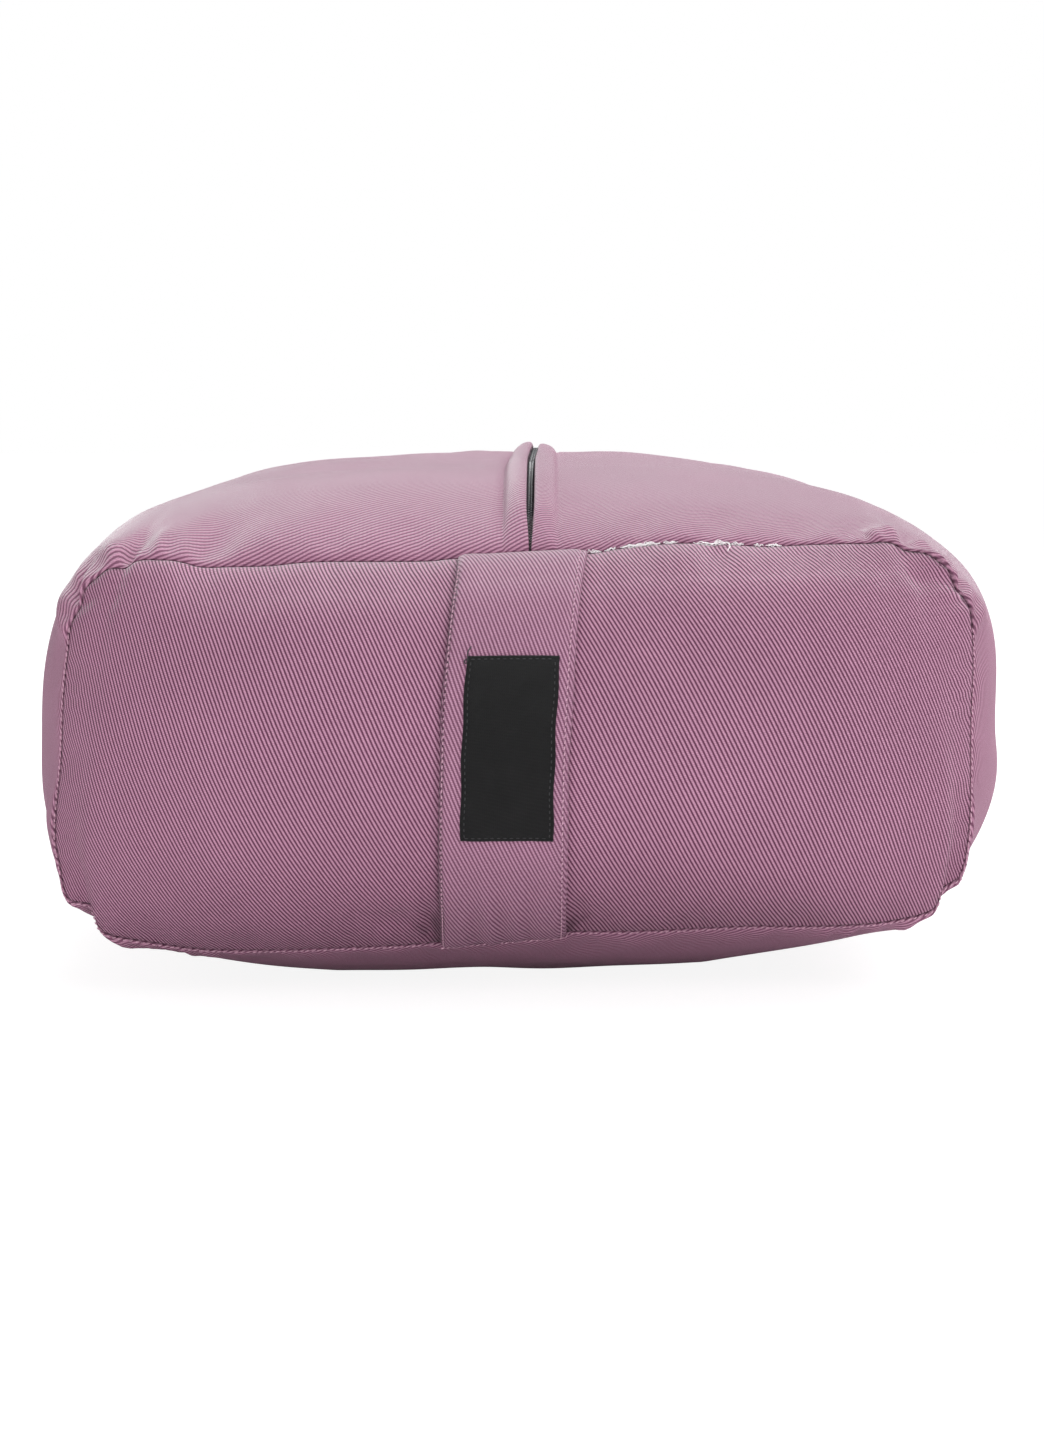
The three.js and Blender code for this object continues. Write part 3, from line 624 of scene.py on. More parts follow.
# %% Moving the cloth by its creases and the roll beside the seam
SEAM_PUFF = {"everywhere": 0.15, "where eased in": 1.3}
SEAM_PUFF_REACH = 1.9
SEAM_ROLL = 1.7
ROLL_FADES = (3.0, 34.0)
ROLL_RISES_IN = 0.12
ROLL_GONE_WHERE_WRAP_GROWS = (2.0, 14.0)

normal = grid_normals(closed_wrap)[:, :-1]
normal *= np.sign((normal * (wrap - [0.0, 0.0, 80.0]) * [1.0, 0.0, 1.0]).sum())
lies_on_floor = plain_wrap[..., 2] < 0.01
wrap = plain_wrap - normal * (depth * np.where(lies_on_floor, 0.0, 1.0))[..., None]
from_seam = np.minimum(wrap_v, wrap_v[-1:] - wrap_v)[:, :-1]
seam_zip = hump(plain_wrap[..., 0] - ZIP_X_FRONT, 5.0) * (side_names == "top")[None, :]
puff_size = (SEAM_PUFF["everywhere"] + SEAM_PUFF["where eased in"] * eased_in) * (1 - 0.7 * seam_zip)
wrap[..., 1] -= sign_grid * puff_size * puff(from_seam, SEAM_PUFF_REACH)
tangent = np.roll(seam_place, -3, axis=1) - np.roll(seam_place, 3, axis=1)
away = np.stack([tangent[..., 1], -tangent[..., 0]], axis=-1)
away /= np.maximum(np.linalg.norm(away, axis=-1, keepdims=True), 1e-9)
away *= np.sign((away * (seam_place - [0.0, PANEL_MIDDLE_Z])).sum(-1, keepdims=True))
grows = ((plain_wrap[half_way][:, [0, 2]] - seam_place) * away).sum(-1)
roll = SEAM_ROLL * (1 - np.exp(-near_grid / ROLL_RISES_IN)) * (1 - ease(near_grid, *ROLL_FADES))
roll *= 1 - ease(grows, *ROLL_GONE_WHERE_WRAP_GROWS)
wrap[..., 0] += away[..., 0] * roll
wrap[..., 2] += away[..., 1] * roll
wrap[..., 2] = np.maximum(wrap[..., 2], 0.0)

# %% [markdown]
# ## Closing the cushion behind its end panels
# The filling swells the ends too, but there the end panels lie over it. The tube is closed with
# rings that shrink towards the middle and follow the panel a little behind it.

# %% Closing rings and the cushion's mesh
FILL_BEHIND_PANEL = 11.0
RINGS_SET_BACK = 2.5
CAP_SHARES = (0.97, 0.9, 0.78, 0.6, 0.38, 0.16)
TAPE_HALF_WIDTH = 1.22


def closing_ring(sides, direction, share):
    """The seam shrunk to a share of its size, swelling with the panel; direction is 1 in front, -1 behind."""
    s, w = cap_s * share, cap_w * share
    flat = patch(sides, s, w)
    out = (END_BULGE - FILL_BEHIND_PANEL) * bulge(s, w)
    y = direction * (-SEAM_Y + lean_at(flat[:, 1]) - out + RINGS_SET_BACK)
    return np.stack([flat[:, 0], y, flat[:, 1]], axis=1)


front_rings = np.stack([closing_ring(FRONT, 1.0, share) for share in CAP_SHARES[::-1]])
back_rings = np.stack([closing_ring(BACK, -1.0, share) for share in CAP_SHARES])
body_grid = np.concatenate([front_rings, wrap, back_rings])
rows, columns = body_grid.shape[:2]
quads = grid_quads(rows, columns, closed=True)
flat_uv = np.zeros((rows, columns + 1, 2))
inside = len(CAP_SHARES)
flat_uv[..., 0] = wrap_u[:1]
flat_uv[inside:rows - inside] = np.stack([wrap_u, wrap_v], axis=-1)
flat_uv[rows - inside:, :, 0] = wrap_u[-1]
flat_uv[rows - inside:, :, 1] = wrap_v[-1]
uv_quads = grid_quads(rows, columns + 1)
seam_of_body = np.zeros((rows, columns, 3))
seam_of_body[..., 0] = seam_run
seam_of_body[inside:rows - inside, :, 1] = from_seam
slot_floor = LIP[:, 0] < TAPE_HALF_WIDTH
seam_of_body[inside:rows - inside, :LIP_COLUMNS, 2] = slot_floor
seam_of_body[inside:rows - inside, columns - LIP_COLUMNS + 1:, 2] = slot_floor[:0:-1]
first, last = rows * columns, rows * columns + 1
poles = np.stack([body_grid[0].mean(0), body_grid[-1].mean(0)])
step = np.arange(columns)
front_fan = np.stack([np.full(columns, first), (step + 1) % columns, step], axis=1)
back_fan = np.stack([np.full(columns, last), (rows - 1) * columns + step,
                     (rows - 1) * columns + (step + 1) % columns], axis=1)
body_points = np.concatenate([body_grid.reshape(-1, 3), poles])
body_uv = np.concatenate([flat_uv.reshape(-1, 2)[uv_quads].reshape(-1, 2),
                          np.zeros((columns * 6, 2))])
cushion = new_piece("filled_wrap", body_points, [*quads.tolist(), *front_fan.tolist(), *back_fan.tolist()],
                    body_uv, np.concatenate([seam_of_body.reshape(-1, 3), np.zeros((2, 3))]))
print("filled wrap:", len(cushion.data.polygons), "faces")


def signed_volume(piece):
    """Volume in litres by the divergence sum over faces; it is positive when the faces point out."""
    mesh = piece.data
    mesh.calc_loop_triangles()
    corners = np.zeros(len(mesh.loop_triangles) * 3, dtype=np.int32)
    mesh.loop_triangles.foreach_get("vertices", corners)
    places = np.zeros(len(mesh.vertices) * 3, dtype=np.float32)
    mesh.vertices.foreach_get("co", places)
    a, b, c = np.moveaxis(places.reshape(-1, 3)[corners.reshape(-1, 3)].astype(float), 1, 0)
    return float(np.einsum("ij,ij->i", a, np.cross(b, c)).sum() / 6 * 1000)


print("volume", round(signed_volume(cushion), 2), "litres")

# %% [markdown]
# ## The end panels
# A panel is a rounded rectangle of twill, blown out by the filling. Its grid runs over the patch
# between the four sides, with its rows and columns crowded where it curves over to the seam. It is
# a sheet a good millimetre thick: an outer grid, an inner grid behind it, and a rim that joins them.

# %% A closed sheet from two grids
def sheet_piece(name, outer, inner, outer_uv, seam=None):
    """Outer and inner grids of the same size, joined round their edge, with the faces pointing out."""
    rows, columns = outer.shape[:2]
    number = np.arange(rows * columns).reshape(rows, columns)
    edge = np.concatenate([number[0, :-1], number[:-1, -1], number[-1, :0:-1], number[:0:-1, 0]])
    on = np.roll(edge, -1)
    top = grid_quads(rows, columns)
    under = top[:, ::-1] + rows * columns
    rim = np.stack([on, edge, edge + rows * columns, on + rows * columns], axis=1)
    faces = np.concatenate([top, under, rim])
    uv = np.concatenate([outer_uv.reshape(-1, 2), outer_uv.reshape(-1, 2)])
    points = np.concatenate([outer.reshape(-1, 3), inner.reshape(-1, 3)])
    seam = None if seam is None else np.concatenate([seam.reshape(-1, 3)] * 2)
    piece = new_piece(name, points, faces.tolist(), uv[faces].reshape(-1, 2), seam)
    if signed_volume(piece) < 0:
        piece.data.flip_normals()
    print(name, len(piece.data.polygons), "faces,", round(signed_volume(piece) * 1000, 1), "ml")
    return piece


# %% Rows, columns and creases of a panel
PANEL_THICK = 1.3
PANEL_RIM_COLUMNS = 84
PANEL_MIDDLE_COLUMNS = 76
PANEL_ROWS = 150
PANEL_PUFF = 0.1
PANEL_PUFF_REACH = 1.9
PANEL_GATHER_PITCH = 7.4
PANEL_WAVES = ((0.55, 84.0, 22), (0.16, 30.0, 23))

rim_turn = np.linspace(0.0, math.pi / 2, PANEL_RIM_COLUMNS + 1)
rim_s = 1 - RIM_SHARE * (1 - np.cos(rim_turn))
panel_s = np.concatenate([-rim_s, np.linspace(-(1 - RIM_SHARE), 1 - RIM_SHARE, PANEL_MIDDLE_COLUMNS)[1:-1],
                          rim_s[::-1]])
panel_w = np.sin(np.linspace(-math.pi / 2, math.pi / 2, PANEL_ROWS))


def arc_table(profile, reach, count=600):
    """Length along a bulging profile against the straight distance from its middle."""
    straight = reach * np.sin(np.linspace(-math.pi / 2, math.pi / 2, count))
    height = profile(straight / reach)
    step = np.hypot(np.diff(straight), np.diff(height))
    run = np.concatenate([[0.0], np.cumsum(step)])
    return straight, run - np.interp(0.0, straight, run)


ACROSS = arc_table(lambda s: END_BULGE * bulge(s, 0 * s), PANEL_HALF_WIDTH + 3)
UPWARDS = arc_table(lambda w: END_BULGE * bulge(0 * w, w), PANEL_HEIGHT / 2 + 5)


# powers of the shares across and down, and how many ribs the cloth drifts by there
CLOTH_DRIFT = ((1, 0, 1.69), (0, 1, -1.24), (2, 0, -1.77), (1, 1, -0.45), (0, 2, -0.74),
               (3, 0, 2.17), (2, 1, 1.27), (1, 2, 2.49), (0, 3, -1.36))
RIB_ACROSS = 1.37
RIB_UP = 3.0


def panel_cloth(flat):
    """Cloth place of a panel point: arc lengths across and up, pulled out of square by a cubic drift."""
    u = np.interp(flat[..., 0], *ACROSS)
    v = np.interp(flat[..., 1] - PANEL_MIDDLE_Z - 1.5, *UPWARDS)
    across, down = flat[..., 0] / 121.0, (PANEL_MIDDLE_Z - flat[..., 1]) / 45.4
    drift = sum(ribs * across ** p * down ** q for p, q, ribs in CLOTH_DRIFT)
    return np.stack([u + RIB_ACROSS * drift, v], axis=-1)


STRAP_HALF_WIDTH = 19.2
STRAP_FOOT_X = -5.1
STRAP_HEAD_X = 0.9
STRAP_LEAN_POWER = 3.2
# strength of the painted shadow on the panel along the strap's left edge
STRAP_EDGE_SHADE = 0.42


def strap_middle(angle):
    """x of the strap's middle line, which leans to the right over its upper half."""
    share = (np.sin(angle) + 1) / 2
    return STRAP_FOOT_X + (STRAP_HEAD_X - STRAP_FOOT_X) * share ** STRAP_LEAN_POWER


# x, lean, strength, half width and height of the painted shade in the wedge creases beside the strap's foot
WEDGES = ((-24.6, -0.1, 0.6, 1.5, 14.0), (-26.0, -0.85, 0.34, 1.3, 11.0), (15.0, 0.25, 0.5, 1.1, 7.0),
          (15.4, 0.9, 0.3, 1.1, 7.0))
# x, height over the bottom seam, depth, half width and half height of the dents behind them
DENTS = ((-27.0, 8.0, 1.7, 3.0, 8.0), (-37.0, 9.0, 0.7, 7.0, 4.0), (17.4, 7.5, 1.3, 2.8, 5.5),
         (24.0, 6.0, 0.5, 6.0, 3.5))


def height_over_foot(flat):
    """Height of panel points over the bottom seam below them."""
    return flat[..., 1] - np.interp(flat[..., 0], *FRONT["bottom"].T)


def distance_in(s, w):
    """Distance in from the nearest side of the panel, measured on its flat patch."""
    return np.minimum(PANEL_HEIGHT / 2 * (1 - np.abs(w)), PANEL_HALF_WIDTH * (1 - np.abs(s)))


def panel_creases(flat, s, w, direction):
    """Depth below the plain panel: short puckers in from the seam, and soft unevenness away from the
    strap."""
    in_from_seam = distance_in(s, w)
    rise = puff(in_from_seam, 3.0)
    total = np.zeros_like(s)
    off = {"top": 1 - w, "bottom": 1 + w, "left": 1 + direction * s, "right": 1 - direction * s}
    for side, at, _, depth, half, _, slant in PUCKERS:
        place = direction * flat[..., 0] if side in ("top", "bottom") else flat[..., 1]
        close = 1 - ease(off[side], 0.0, 0.6)
        swing = place - at + slant * in_from_seam
        total += 1.5 * depth * hump(swing, half * 0.9 + 0.12 * in_from_seam) * rise * close
    seam_like = np.where(np.abs(w) > np.abs(s), flat[..., 0], flat[..., 1])
    gather = np.cos(2 * math.pi * seam_like / PANEL_GATHER_PITCH + 1.8 * waves(seam_like, 0 * s, 33.0, 21))
    total += 0.16 * gather * rise
    if direction > 0:
        over_foot = height_over_foot(flat)
        for x, up, depth, half, half_up in DENTS:
            dent = hump(flat[..., 0] - x, half) * hump(over_foot - up, half_up)
            total += depth * dent * ease(over_foot, 0.0, 3.0)
    free = 1 - hump(flat[..., 0] + 3.0, 24.0)
    soft = sum(height * waves(flat[..., 0], flat[..., 1], length, seed) for height, length, seed in PANEL_WAVES)
    return total + soft * ease(in_from_seam, 0.5, 12.0) * np.where(direction > 0, free, 1.0)


def painted_crease_shade(flat, w):
    """Painted shade: a shadow on the cloth along the strap's left edge, and in the wedge creases at its foot.
    """
    strap_edge = strap_middle(np.arcsin(np.clip(w, -1.0, 1.0))) - STRAP_HALF_WIDTH
    over_foot = height_over_foot(flat)
    shade = STRAP_EDGE_SHADE * hump(flat[..., 0] - strap_edge, 1.0)
    for x, lean, strength, half, high in WEDGES:
        shade = np.maximum(shade, strength * hump(flat[..., 0] - x - lean * over_foot,
                                                  half * (1 + 0.05 * over_foot))
                           * (1 - ease(over_foot, 0.4 * high, high)))
    return shade


def panel_grid(sides, direction):
    """Outer face of a panel: points, cloth places, facing, and seam places with painted crease shade;
    direction is 1 in front, -1 behind."""
    s, w = np.meshgrid(panel_s, panel_w)
    flat = patch(sides, s, w)
    in_from_seam = distance_in(s, w)
    out = END_BULGE * bulge(s, w)
    from_seam = np.hypot(in_from_seam, out)
    sideways = np.stack([s * np.abs(s) ** 7, w * np.abs(w) ** 7], axis=-1)
    sideways /= np.maximum(np.linalg.norm(sideways, axis=-1, keepdims=True), 1e-6)
    under_strap = np.where(direction > 0, hump(flat[..., 0] + 2.0, 22.0), 0.0)
    flat_out = flat + sideways * (PANEL_PUFF * puff(from_seam, PANEL_PUFF_REACH)
                                  * (1 - 0.6 * under_strap))[..., None]
    points = np.stack([flat_out[..., 0], direction * (-SEAM_Y + lean_at(flat[..., 1]) - out),
                       flat_out[..., 1]], axis=-1)
    facing = grid_normals(points)
    facing *= np.sign((facing[..., 1] * -direction).sum())
    points = points - facing * panel_creases(flat, s, w, direction)[..., None]
    along_seam = np.where(np.abs(w) > np.abs(s), flat[..., 0], flat[..., 1])
    # on the front panel the third seam value is the painted shade of its creases
    shade = painted_crease_shade(flat, w) if direction > 0 else 0 * s
    return points, panel_cloth(flat), facing, np.stack([along_seam, from_seam, shade], axis=-1)


panels = {}
for name, sides, direction in (("end_panel_front_twill", FRONT, 1.0), ("end_panel_back_twill", BACK, -1.0)):
    outer, cloth, facing, seam = panel_grid(sides, direction)
    inner = outer - facing * PANEL_THICK
    panels[name] = sheet_piece(name, outer, inner, cloth, seam)

# %% [markdown]
# ## The strap handle
# The strap is the same twill folded into a flat tube and stitched along both long edges. Its ends
# are caught in the seams and between them it lies on the swelling panel. A point of it is found
# from its place across, an angle up round the swelling, and its height off the panel.

# %% Placing things over the front panel
STRAP_THICK = 2.5
STRAP_CLEARANCE = 0.5
STRAP_ENDS_AT = math.radians(88.5)


def plain_panel(s, w):
    """The front panel without its creases."""
    flat = patch(FRONT, s, w)
    return np.stack([flat[..., 0], -SEAM_Y + lean_at(flat[..., 1]) - END_BULGE * bulge(s, w), flat[..., 1]],
                    axis=-1)


def over_panel(x, angle, lift):
    """A point lifted off the front panel: x across, an angle round its swelling, and a height."""
    w = np.sin(angle)
    left, right = (plain_panel(np.full_like(w, s), w)[..., 0] for s in (-0.2, 0.2))
    s = -0.2 + 0.4 * (x - left) / (right - left)
    step = 1e-3
    across = plain_panel(s + step, w) - plain_panel(s - step, w)
    low, high = np.maximum(w - step, step - 1), np.minimum(w + step, 1 - step)
    outward = np.cross(across, plain_panel(s, high) - plain_panel(s, low))
    outward /= np.linalg.norm(outward, axis=-1, keepdims=True)
    return plain_panel(s, w) + outward * np.asarray(lift)[..., None]


STRAP_LENGTH_TABLE = np.linspace(-STRAP_ENDS_AT, STRAP_ENDS_AT, 400)
strap_line = over_panel(strap_middle(STRAP_LENGTH_TABLE), STRAP_LENGTH_TABLE, np.full(400, STRAP_THICK))
STRAP_RUN = path_run(strap_line)
print("strap is", round(float(STRAP_RUN[-1]), 1), "mm long between the seams")

# %% The strap's surface
STITCH_LINES = {"left": -STRAP_HALF_WIDTH + 0.8, "right": STRAP_HALF_WIDTH - 1.7}
STRAP_PITCH = 1.8
# x, how much it leans, height and half width of the folds over the strap's foot
FOOT_FOLDS = ((-8.5, 1.0, 0.9, 3.0), (-4.4, 1.0, -0.7, 2.6), (-0.2, 1.0, 0.8, 2.2), (3.6, 0.0, -0.5, 2.6),
              (7.6, 0.0, 0.8, 2.4))
STRAP_COLUMNS = 61
STRAP_ROWS = 190


def strap_run_at(angle):
    """Length along the strap from its foot to an angle."""
    return np.interp(angle, STRAP_LENGTH_TABLE, STRAP_RUN)


def strap_half_width(angle):
    """Half the strap's width, a little uneven along its length."""
    run = strap_run_at(angle)
    return STRAP_HALF_WIDTH + 0.22 * waves(run, 0 * run, 40.0, 31)


def strap_lift(edge, angle):
    """Height of the strap's outer face: flat in the middle, rolled at its edges, dented by its stitch
    lines."""
    run = strap_run_at(angle)
    x = edge * STRAP_HALF_WIDTH
    rolled = np.clip(1 - np.abs(edge) ** 14, 0.0, 1.0) ** 0.5
    thick = STRAP_THICK * rolled + 0.25
    for line in STITCH_LINES.values():
        thick = thick - 0.45 * hump(x - line, 0.6) * (0.85 + 0.15 * np.cos(2 * math.pi * run / STRAP_PITCH))
    lean = 0.07 * (run - 20.0)
    fold = sum(height * hump(x - at + leaning * lean, half) for at, leaning, height, half in FOOT_FOLDS)
    low = 1 - ease(run, 12.0, 66.0)
    high = ease(run, 128.0, 158.0)
    thick = thick - fold * low - 0.35 * hump(x + 10.0, 4.0) * high
    thick = thick + 0.22 * waves(x, run, 34.0, 32) * rolled
    sewn = (np.abs(angle) / (math.pi / 2)) ** 10
    return STRAP_CLEARANCE * (1 - 0.4 * sewn) + thick * (1 - 0.8 * sewn)


def strap_face(x, angle):
    """Height of the strap's outer face at an x and an angle."""
    return strap_lift((x - strap_middle(angle)) / STRAP_HALF_WIDTH, angle)


def crowded_ends(count, turn):
    """Places from -1 to 1 along a sine, so they lie closer together towards both ends."""
    return np.sin(np.linspace(-1.0, 1.0, count) * turn) / math.sin(turn)


strap_edge = crowded_ends(STRAP_COLUMNS, 1.35)
strap_angle = np.linspace(-STRAP_ENDS_AT, STRAP_ENDS_AT, STRAP_ROWS)
edge, angle = np.meshgrid(strap_edge, strap_angle)
x = strap_middle(angle) + edge * strap_half_width(angle)
strap_outer = over_panel(x, angle, strap_lift(edge, angle))
strap_inner = over_panel(x, angle, np.full_like(x, 0.5 * STRAP_CLEARANCE))
strap_cloth = np.stack([edge * STRAP_HALF_WIDTH, strap_run_at(angle)], axis=-1)
strap = sheet_piece("strap_handle", strap_outer, strap_inner, strap_cloth)

# %% [markdown]
# ## The label
# The label is a small piece of black satin, folded under at its ends and stitched down all round.
# It is a thin sheet that lies on the strap, slightly pulled in between its stitches.

# %% The label's surface
LABEL_HALF_WIDTH = 13.75
LABEL_OFFSET = 1.0
LABEL_FOOT = math.radians(-24.0)
LABEL_HEAD = math.radians(28.7)
LABEL_THICK = 0.75
LABEL_SKEW = 0.0165
LABEL_HEM = 0.12
LABEL_STITCHES_PRESS = 0.22
LABEL_COLUMNS = 41
LABEL_ROWS = 81
LABEL_LONG = float(np.ptp(strap_run_at([LABEL_FOOT, LABEL_HEAD])))


def label_place(edge, along_it):
    """x and angle of a label point from its place across, -1 to 1, and along, -1 to 1."""
    angle = (LABEL_FOOT + LABEL_HEAD) / 2 + (LABEL_HEAD - LABEL_FOOT) / 2 * along_it
    half = LABEL_HALF_WIDTH + 0.18 * np.cos(9.0 * along_it + 1.0) * np.abs(edge)
    return strap_middle(angle) + LABEL_OFFSET + half * edge, angle - LABEL_SKEW * edge * (1 - 0.3 * along_it)


def label_lift(edge, along_it):
    """Height over the panel: on the strap, with hems at head and foot and a dip along the stitches."""
    x, angle = label_place(edge, along_it)
    base = strap_face(x, angle) + 0.12
    hem = LABEL_HEM * ease(np.abs(along_it), 0.92, 0.95)
    stitched = LABEL_STITCHES_PRESS * (hump((1 - np.abs(edge)) * LABEL_HALF_WIDTH - 1.2, 0.6)
                                      + hump((1 - np.abs(along_it)) * LABEL_LONG / 2 - 1.3, 0.6))
    rolled = np.clip(1 - np.maximum(np.abs(edge), np.abs(along_it)) ** 60, 0.0, 1.0) ** 0.5
    puff = 0.18 * (1 - edge ** 2) * (1 - along_it ** 2)
    return base + (LABEL_THICK + hem) * rolled - stitched + puff


label_edge, label_along = np.meshgrid(crowded_ends(LABEL_COLUMNS, 1.3), crowded_ends(LABEL_ROWS, 1.3))
x, angle = label_place(label_edge, label_along)
label_outer = over_panel(x, angle, label_lift(label_edge, label_along))
under_label = strap_face(x, angle) + 0.06
label_inner = over_panel(x, angle, under_label)
label_cloth = np.stack([label_edge * LABEL_HALF_WIDTH, strap_run_at(angle)], axis=-1)
label = sheet_piece("woven_label", label_outer, label_inner, label_cloth)

# %% [markdown]
# ## Threads and the zip's coil
# Stitches, loose threads and the coil's turns are all thin round strands. Each is a short path
# with a circle carried along it. Equal paths are worked out together as one array and joined in
# one mesh, with their ends drawn in and closed.

# %% Strands along paths
def strands(name, paths, radius, sides=6, facing=(0.0, -1.0, 0.3), flatten=1.0):
    """Round strands: paths is (count, points, 3); a circle of the radius rides on each, closed at both
    ends."""
    paths = np.asarray(paths, dtype=float)
    count, length = paths.shape[:2]
    radius = np.broadcast_to(np.asarray(radius, dtype=float), (count, length))
    tangent = np.gradient(paths, axis=1)
    tangent /= np.maximum(np.linalg.norm(tangent, axis=-1, keepdims=True), 1e-9)
    first = np.cross(tangent, np.broadcast_to(np.asarray(facing, dtype=float), tangent.shape))
    first /= np.maximum(np.linalg.norm(first, axis=-1, keepdims=True), 1e-9)
    second = np.cross(first, tangent)
    turn = np.linspace(0.0, 2 * math.pi, sides, endpoint=False)
    circle = (first[:, :, None, :] * np.cos(turn)[None, None, :, None]
              + second[:, :, None, :] * np.sin(turn)[None, None, :, None] * flatten)
    points = paths[:, :, None, :] + circle * radius[:, :, None, None]
    quads = grid_quads(length, sides, closed=True)
    size = length * sides
    offsets = np.arange(count)[:, None, None] * size
    faces = (quads[None] + offsets).reshape(-1, 4)
    ends = np.stack([np.arange(sides)[::-1], np.arange(sides) + size - sides])
    caps = (ends[None] + offsets).reshape(-1, sides)
    piece = new_piece(name, points.reshape(-1, 3), [*faces.tolist(), *caps.tolist()])
    if signed_volume(piece) < 0:
        piece.data.flip_normals()
    print(name, count, "strands,", len(piece.data.polygons), "faces")
    return piece


def rounded_ends(length, radius):
    """Radius along a strand that draws in to three tenths at both ends."""
    share = np.abs(np.linspace(-1.0, 1.0, length))
    return radius * (0.3 + 0.7 * np.sqrt(np.clip(1 - share ** 4, 0.0, 1.0)))


# %% [markdown]
# ## Stitches
# The thread of the end seams shows as a row of short beads just outside the dark groove between
# wrap and panel, and lies over the strap's foot too. The groove's dark line is painted shadow in the
# twill material. The strap is topstitched near both edges and the label close to its edge all round.

# %% Seam stitches
SEAM_PITCH = 1.8
THREAD_RADIUS = 0.19
THREAD_OUT = 0.45
THREAD_FORWARD = 1.2
THREAD_UNDER_STRAP = 0.95
THREAD_SHOWS_BELOW = 112.0


def seam_path(sides):
    """The whole end seam as one closed run of points, x and z."""
    return np.concatenate([sides["bottom"], sides["right"][1:], sides["top"][::-1][1:],
                           sides["left"][::-1][1:]])


def seam_stitches(name, sides, direction):
    """Beads of thread just outside an end seam, each a bent strand that dives in at both ends; none
    round the top."""
    path = seam_path(sides)
    run = path_run(path)
    total = run[-1]
    count = int(total / SEAM_PITCH)
    points = 7
    centre = (np.arange(count) + 0.5) * total / count
    centre = centre + np.random.default_rng(41).normal(0.0, 0.1, count)
    centre = centre[np.interp(centre, run, path[:, 1]) < THREAD_SHOWS_BELOW]
    share = np.linspace(-1.0, 1.0, points)[None, :]
    where = np.clip(centre[:, None] + share * 0.34 * SEAM_PITCH, 0.0, total)
    x, z = np.interp(where, run, path[:, 0]), np.interp(where, run, path[:, 1])
    inward = np.stack([-x * 0.2, PANEL_MIDDLE_Z - z], axis=-1)
    inward /= np.linalg.norm(inward, axis=-1, keepdims=True)
    lift = 0.5 - 0.6 * share ** 2
    level = ease(inward[..., 1], 0.4, 0.8)
    from_strap = np.abs(direction * x - STRAP_FOOT_X) - STRAP_HALF_WIDTH
    at_strap = level * (1 - ease(from_strap, -0.5, 0.5)) * (direction > 0)
    y = direction * (-SEAM_Y + lean_at(z) - lift - THREAD_FORWARD * (1 + 1.2 * level + 2.6 * at_strap))
    slant = 0.2 * share - THREAD_OUT - THREAD_UNDER_STRAP * at_strap
    paths = np.stack([x + inward[..., 0] * slant, y, z + inward[..., 1] * slant], axis=-1)
    return strands(name, paths, rounded_ends(points, THREAD_RADIUS)[None, :])


front_stitches = seam_stitches("seam_stitches_front", FRONT, 1.0)
back_stitches = seam_stitches("seam_stitches_back", BACK, -1.0)

# %% Topstitching of the strap
def topstitches():
    """Dashes along both edges of the strap, sunk into their dented line."""
    paths = []
    run = np.arange(3.0, STRAP_RUN[-1] - 3.0, STRAP_PITCH)
    share = np.linspace(-1.0, 1.0, 6)[None, :]
    for line in STITCH_LINES.values():
        where = run[:, None] + share * 0.36 * STRAP_PITCH
        angle = np.interp(where, STRAP_RUN, STRAP_LENGTH_TABLE)
        across = line / STRAP_HALF_WIDTH + 0 * where
        lift = strap_lift(across, angle) + 0.1 - 0.3 * share ** 2
        paths.append(over_panel(strap_middle(angle) + line + 0.1 * share, angle, lift))
    return strands("strap_topstitching", np.concatenate(paths), rounded_ends(6, 0.18)[None, :])


strap_stitches = topstitches()

# %% Stitches round the label
LABEL_PITCH = 1.9


def label_stitches():
    """Black dashes in a rectangle just inside the label's edge."""
    sides = []
    half_long = LABEL_LONG / 2
    inset_across, inset_along = 1 - 1.2 / LABEL_HALF_WIDTH, 1 - 1.3 / half_long
    share = np.linspace(-1.0, 1.0, 5)[None, :]
    run = np.arange(-half_long + 2.0, half_long - 1.5, LABEL_PITCH)[:, None]
    for edge in (-inset_across, inset_across):
        sides.append((edge + 0 * run + 0 * share, (run + share * 0.66) / half_long))
    run = np.arange(-LABEL_HALF_WIDTH + 1.8, LABEL_HALF_WIDTH - 1.5, LABEL_PITCH)[:, None]
    for along_it in (-inset_along, inset_along):
        sides.append(((run + share * 0.66) / LABEL_HALF_WIDTH, along_it + 0 * run + 0 * share))
    paths = []
    for edge, along_it in sides:
        x, angle = label_place(edge, along_it)
        paths.append(over_panel(x, angle, label_lift(edge, along_it) + 0.06 - 0.2 * share ** 2))
    return strands("label_stitches", np.concatenate(paths), rounded_ends(5, 0.17)[None, :])


label_thread = label_stitches()

# %% [markdown]
# ## The zip's coil
# Between the lips two rows of nylon turns lock into each other. Only their tops show in the slot,
# so each turn is a short arch across its half of the slot, and the rows are staggered.

# %% Coil turns and the tape under them
COIL_PITCH = 1.35
COIL_FROM = 1.0
COIL_ROW_OUT = 0.42
COIL_HALF_SPAN = 0.5
COIL_FOOT = 0.35
COIL_ARCH = 0.95
COIL_RADIUS = 0.38


def zip_line(back):
    """x and z of the plain top of the wrap along the zip."""
    x = ZIP_X_FRONT + (ZIP_X_BACK - ZIP_X_FRONT) * back / (2 * SEAM_Y)
    column = plain_wrap[:, 0]
    return x, np.interp(back, ROWS, column[:, 2] + 0.7)


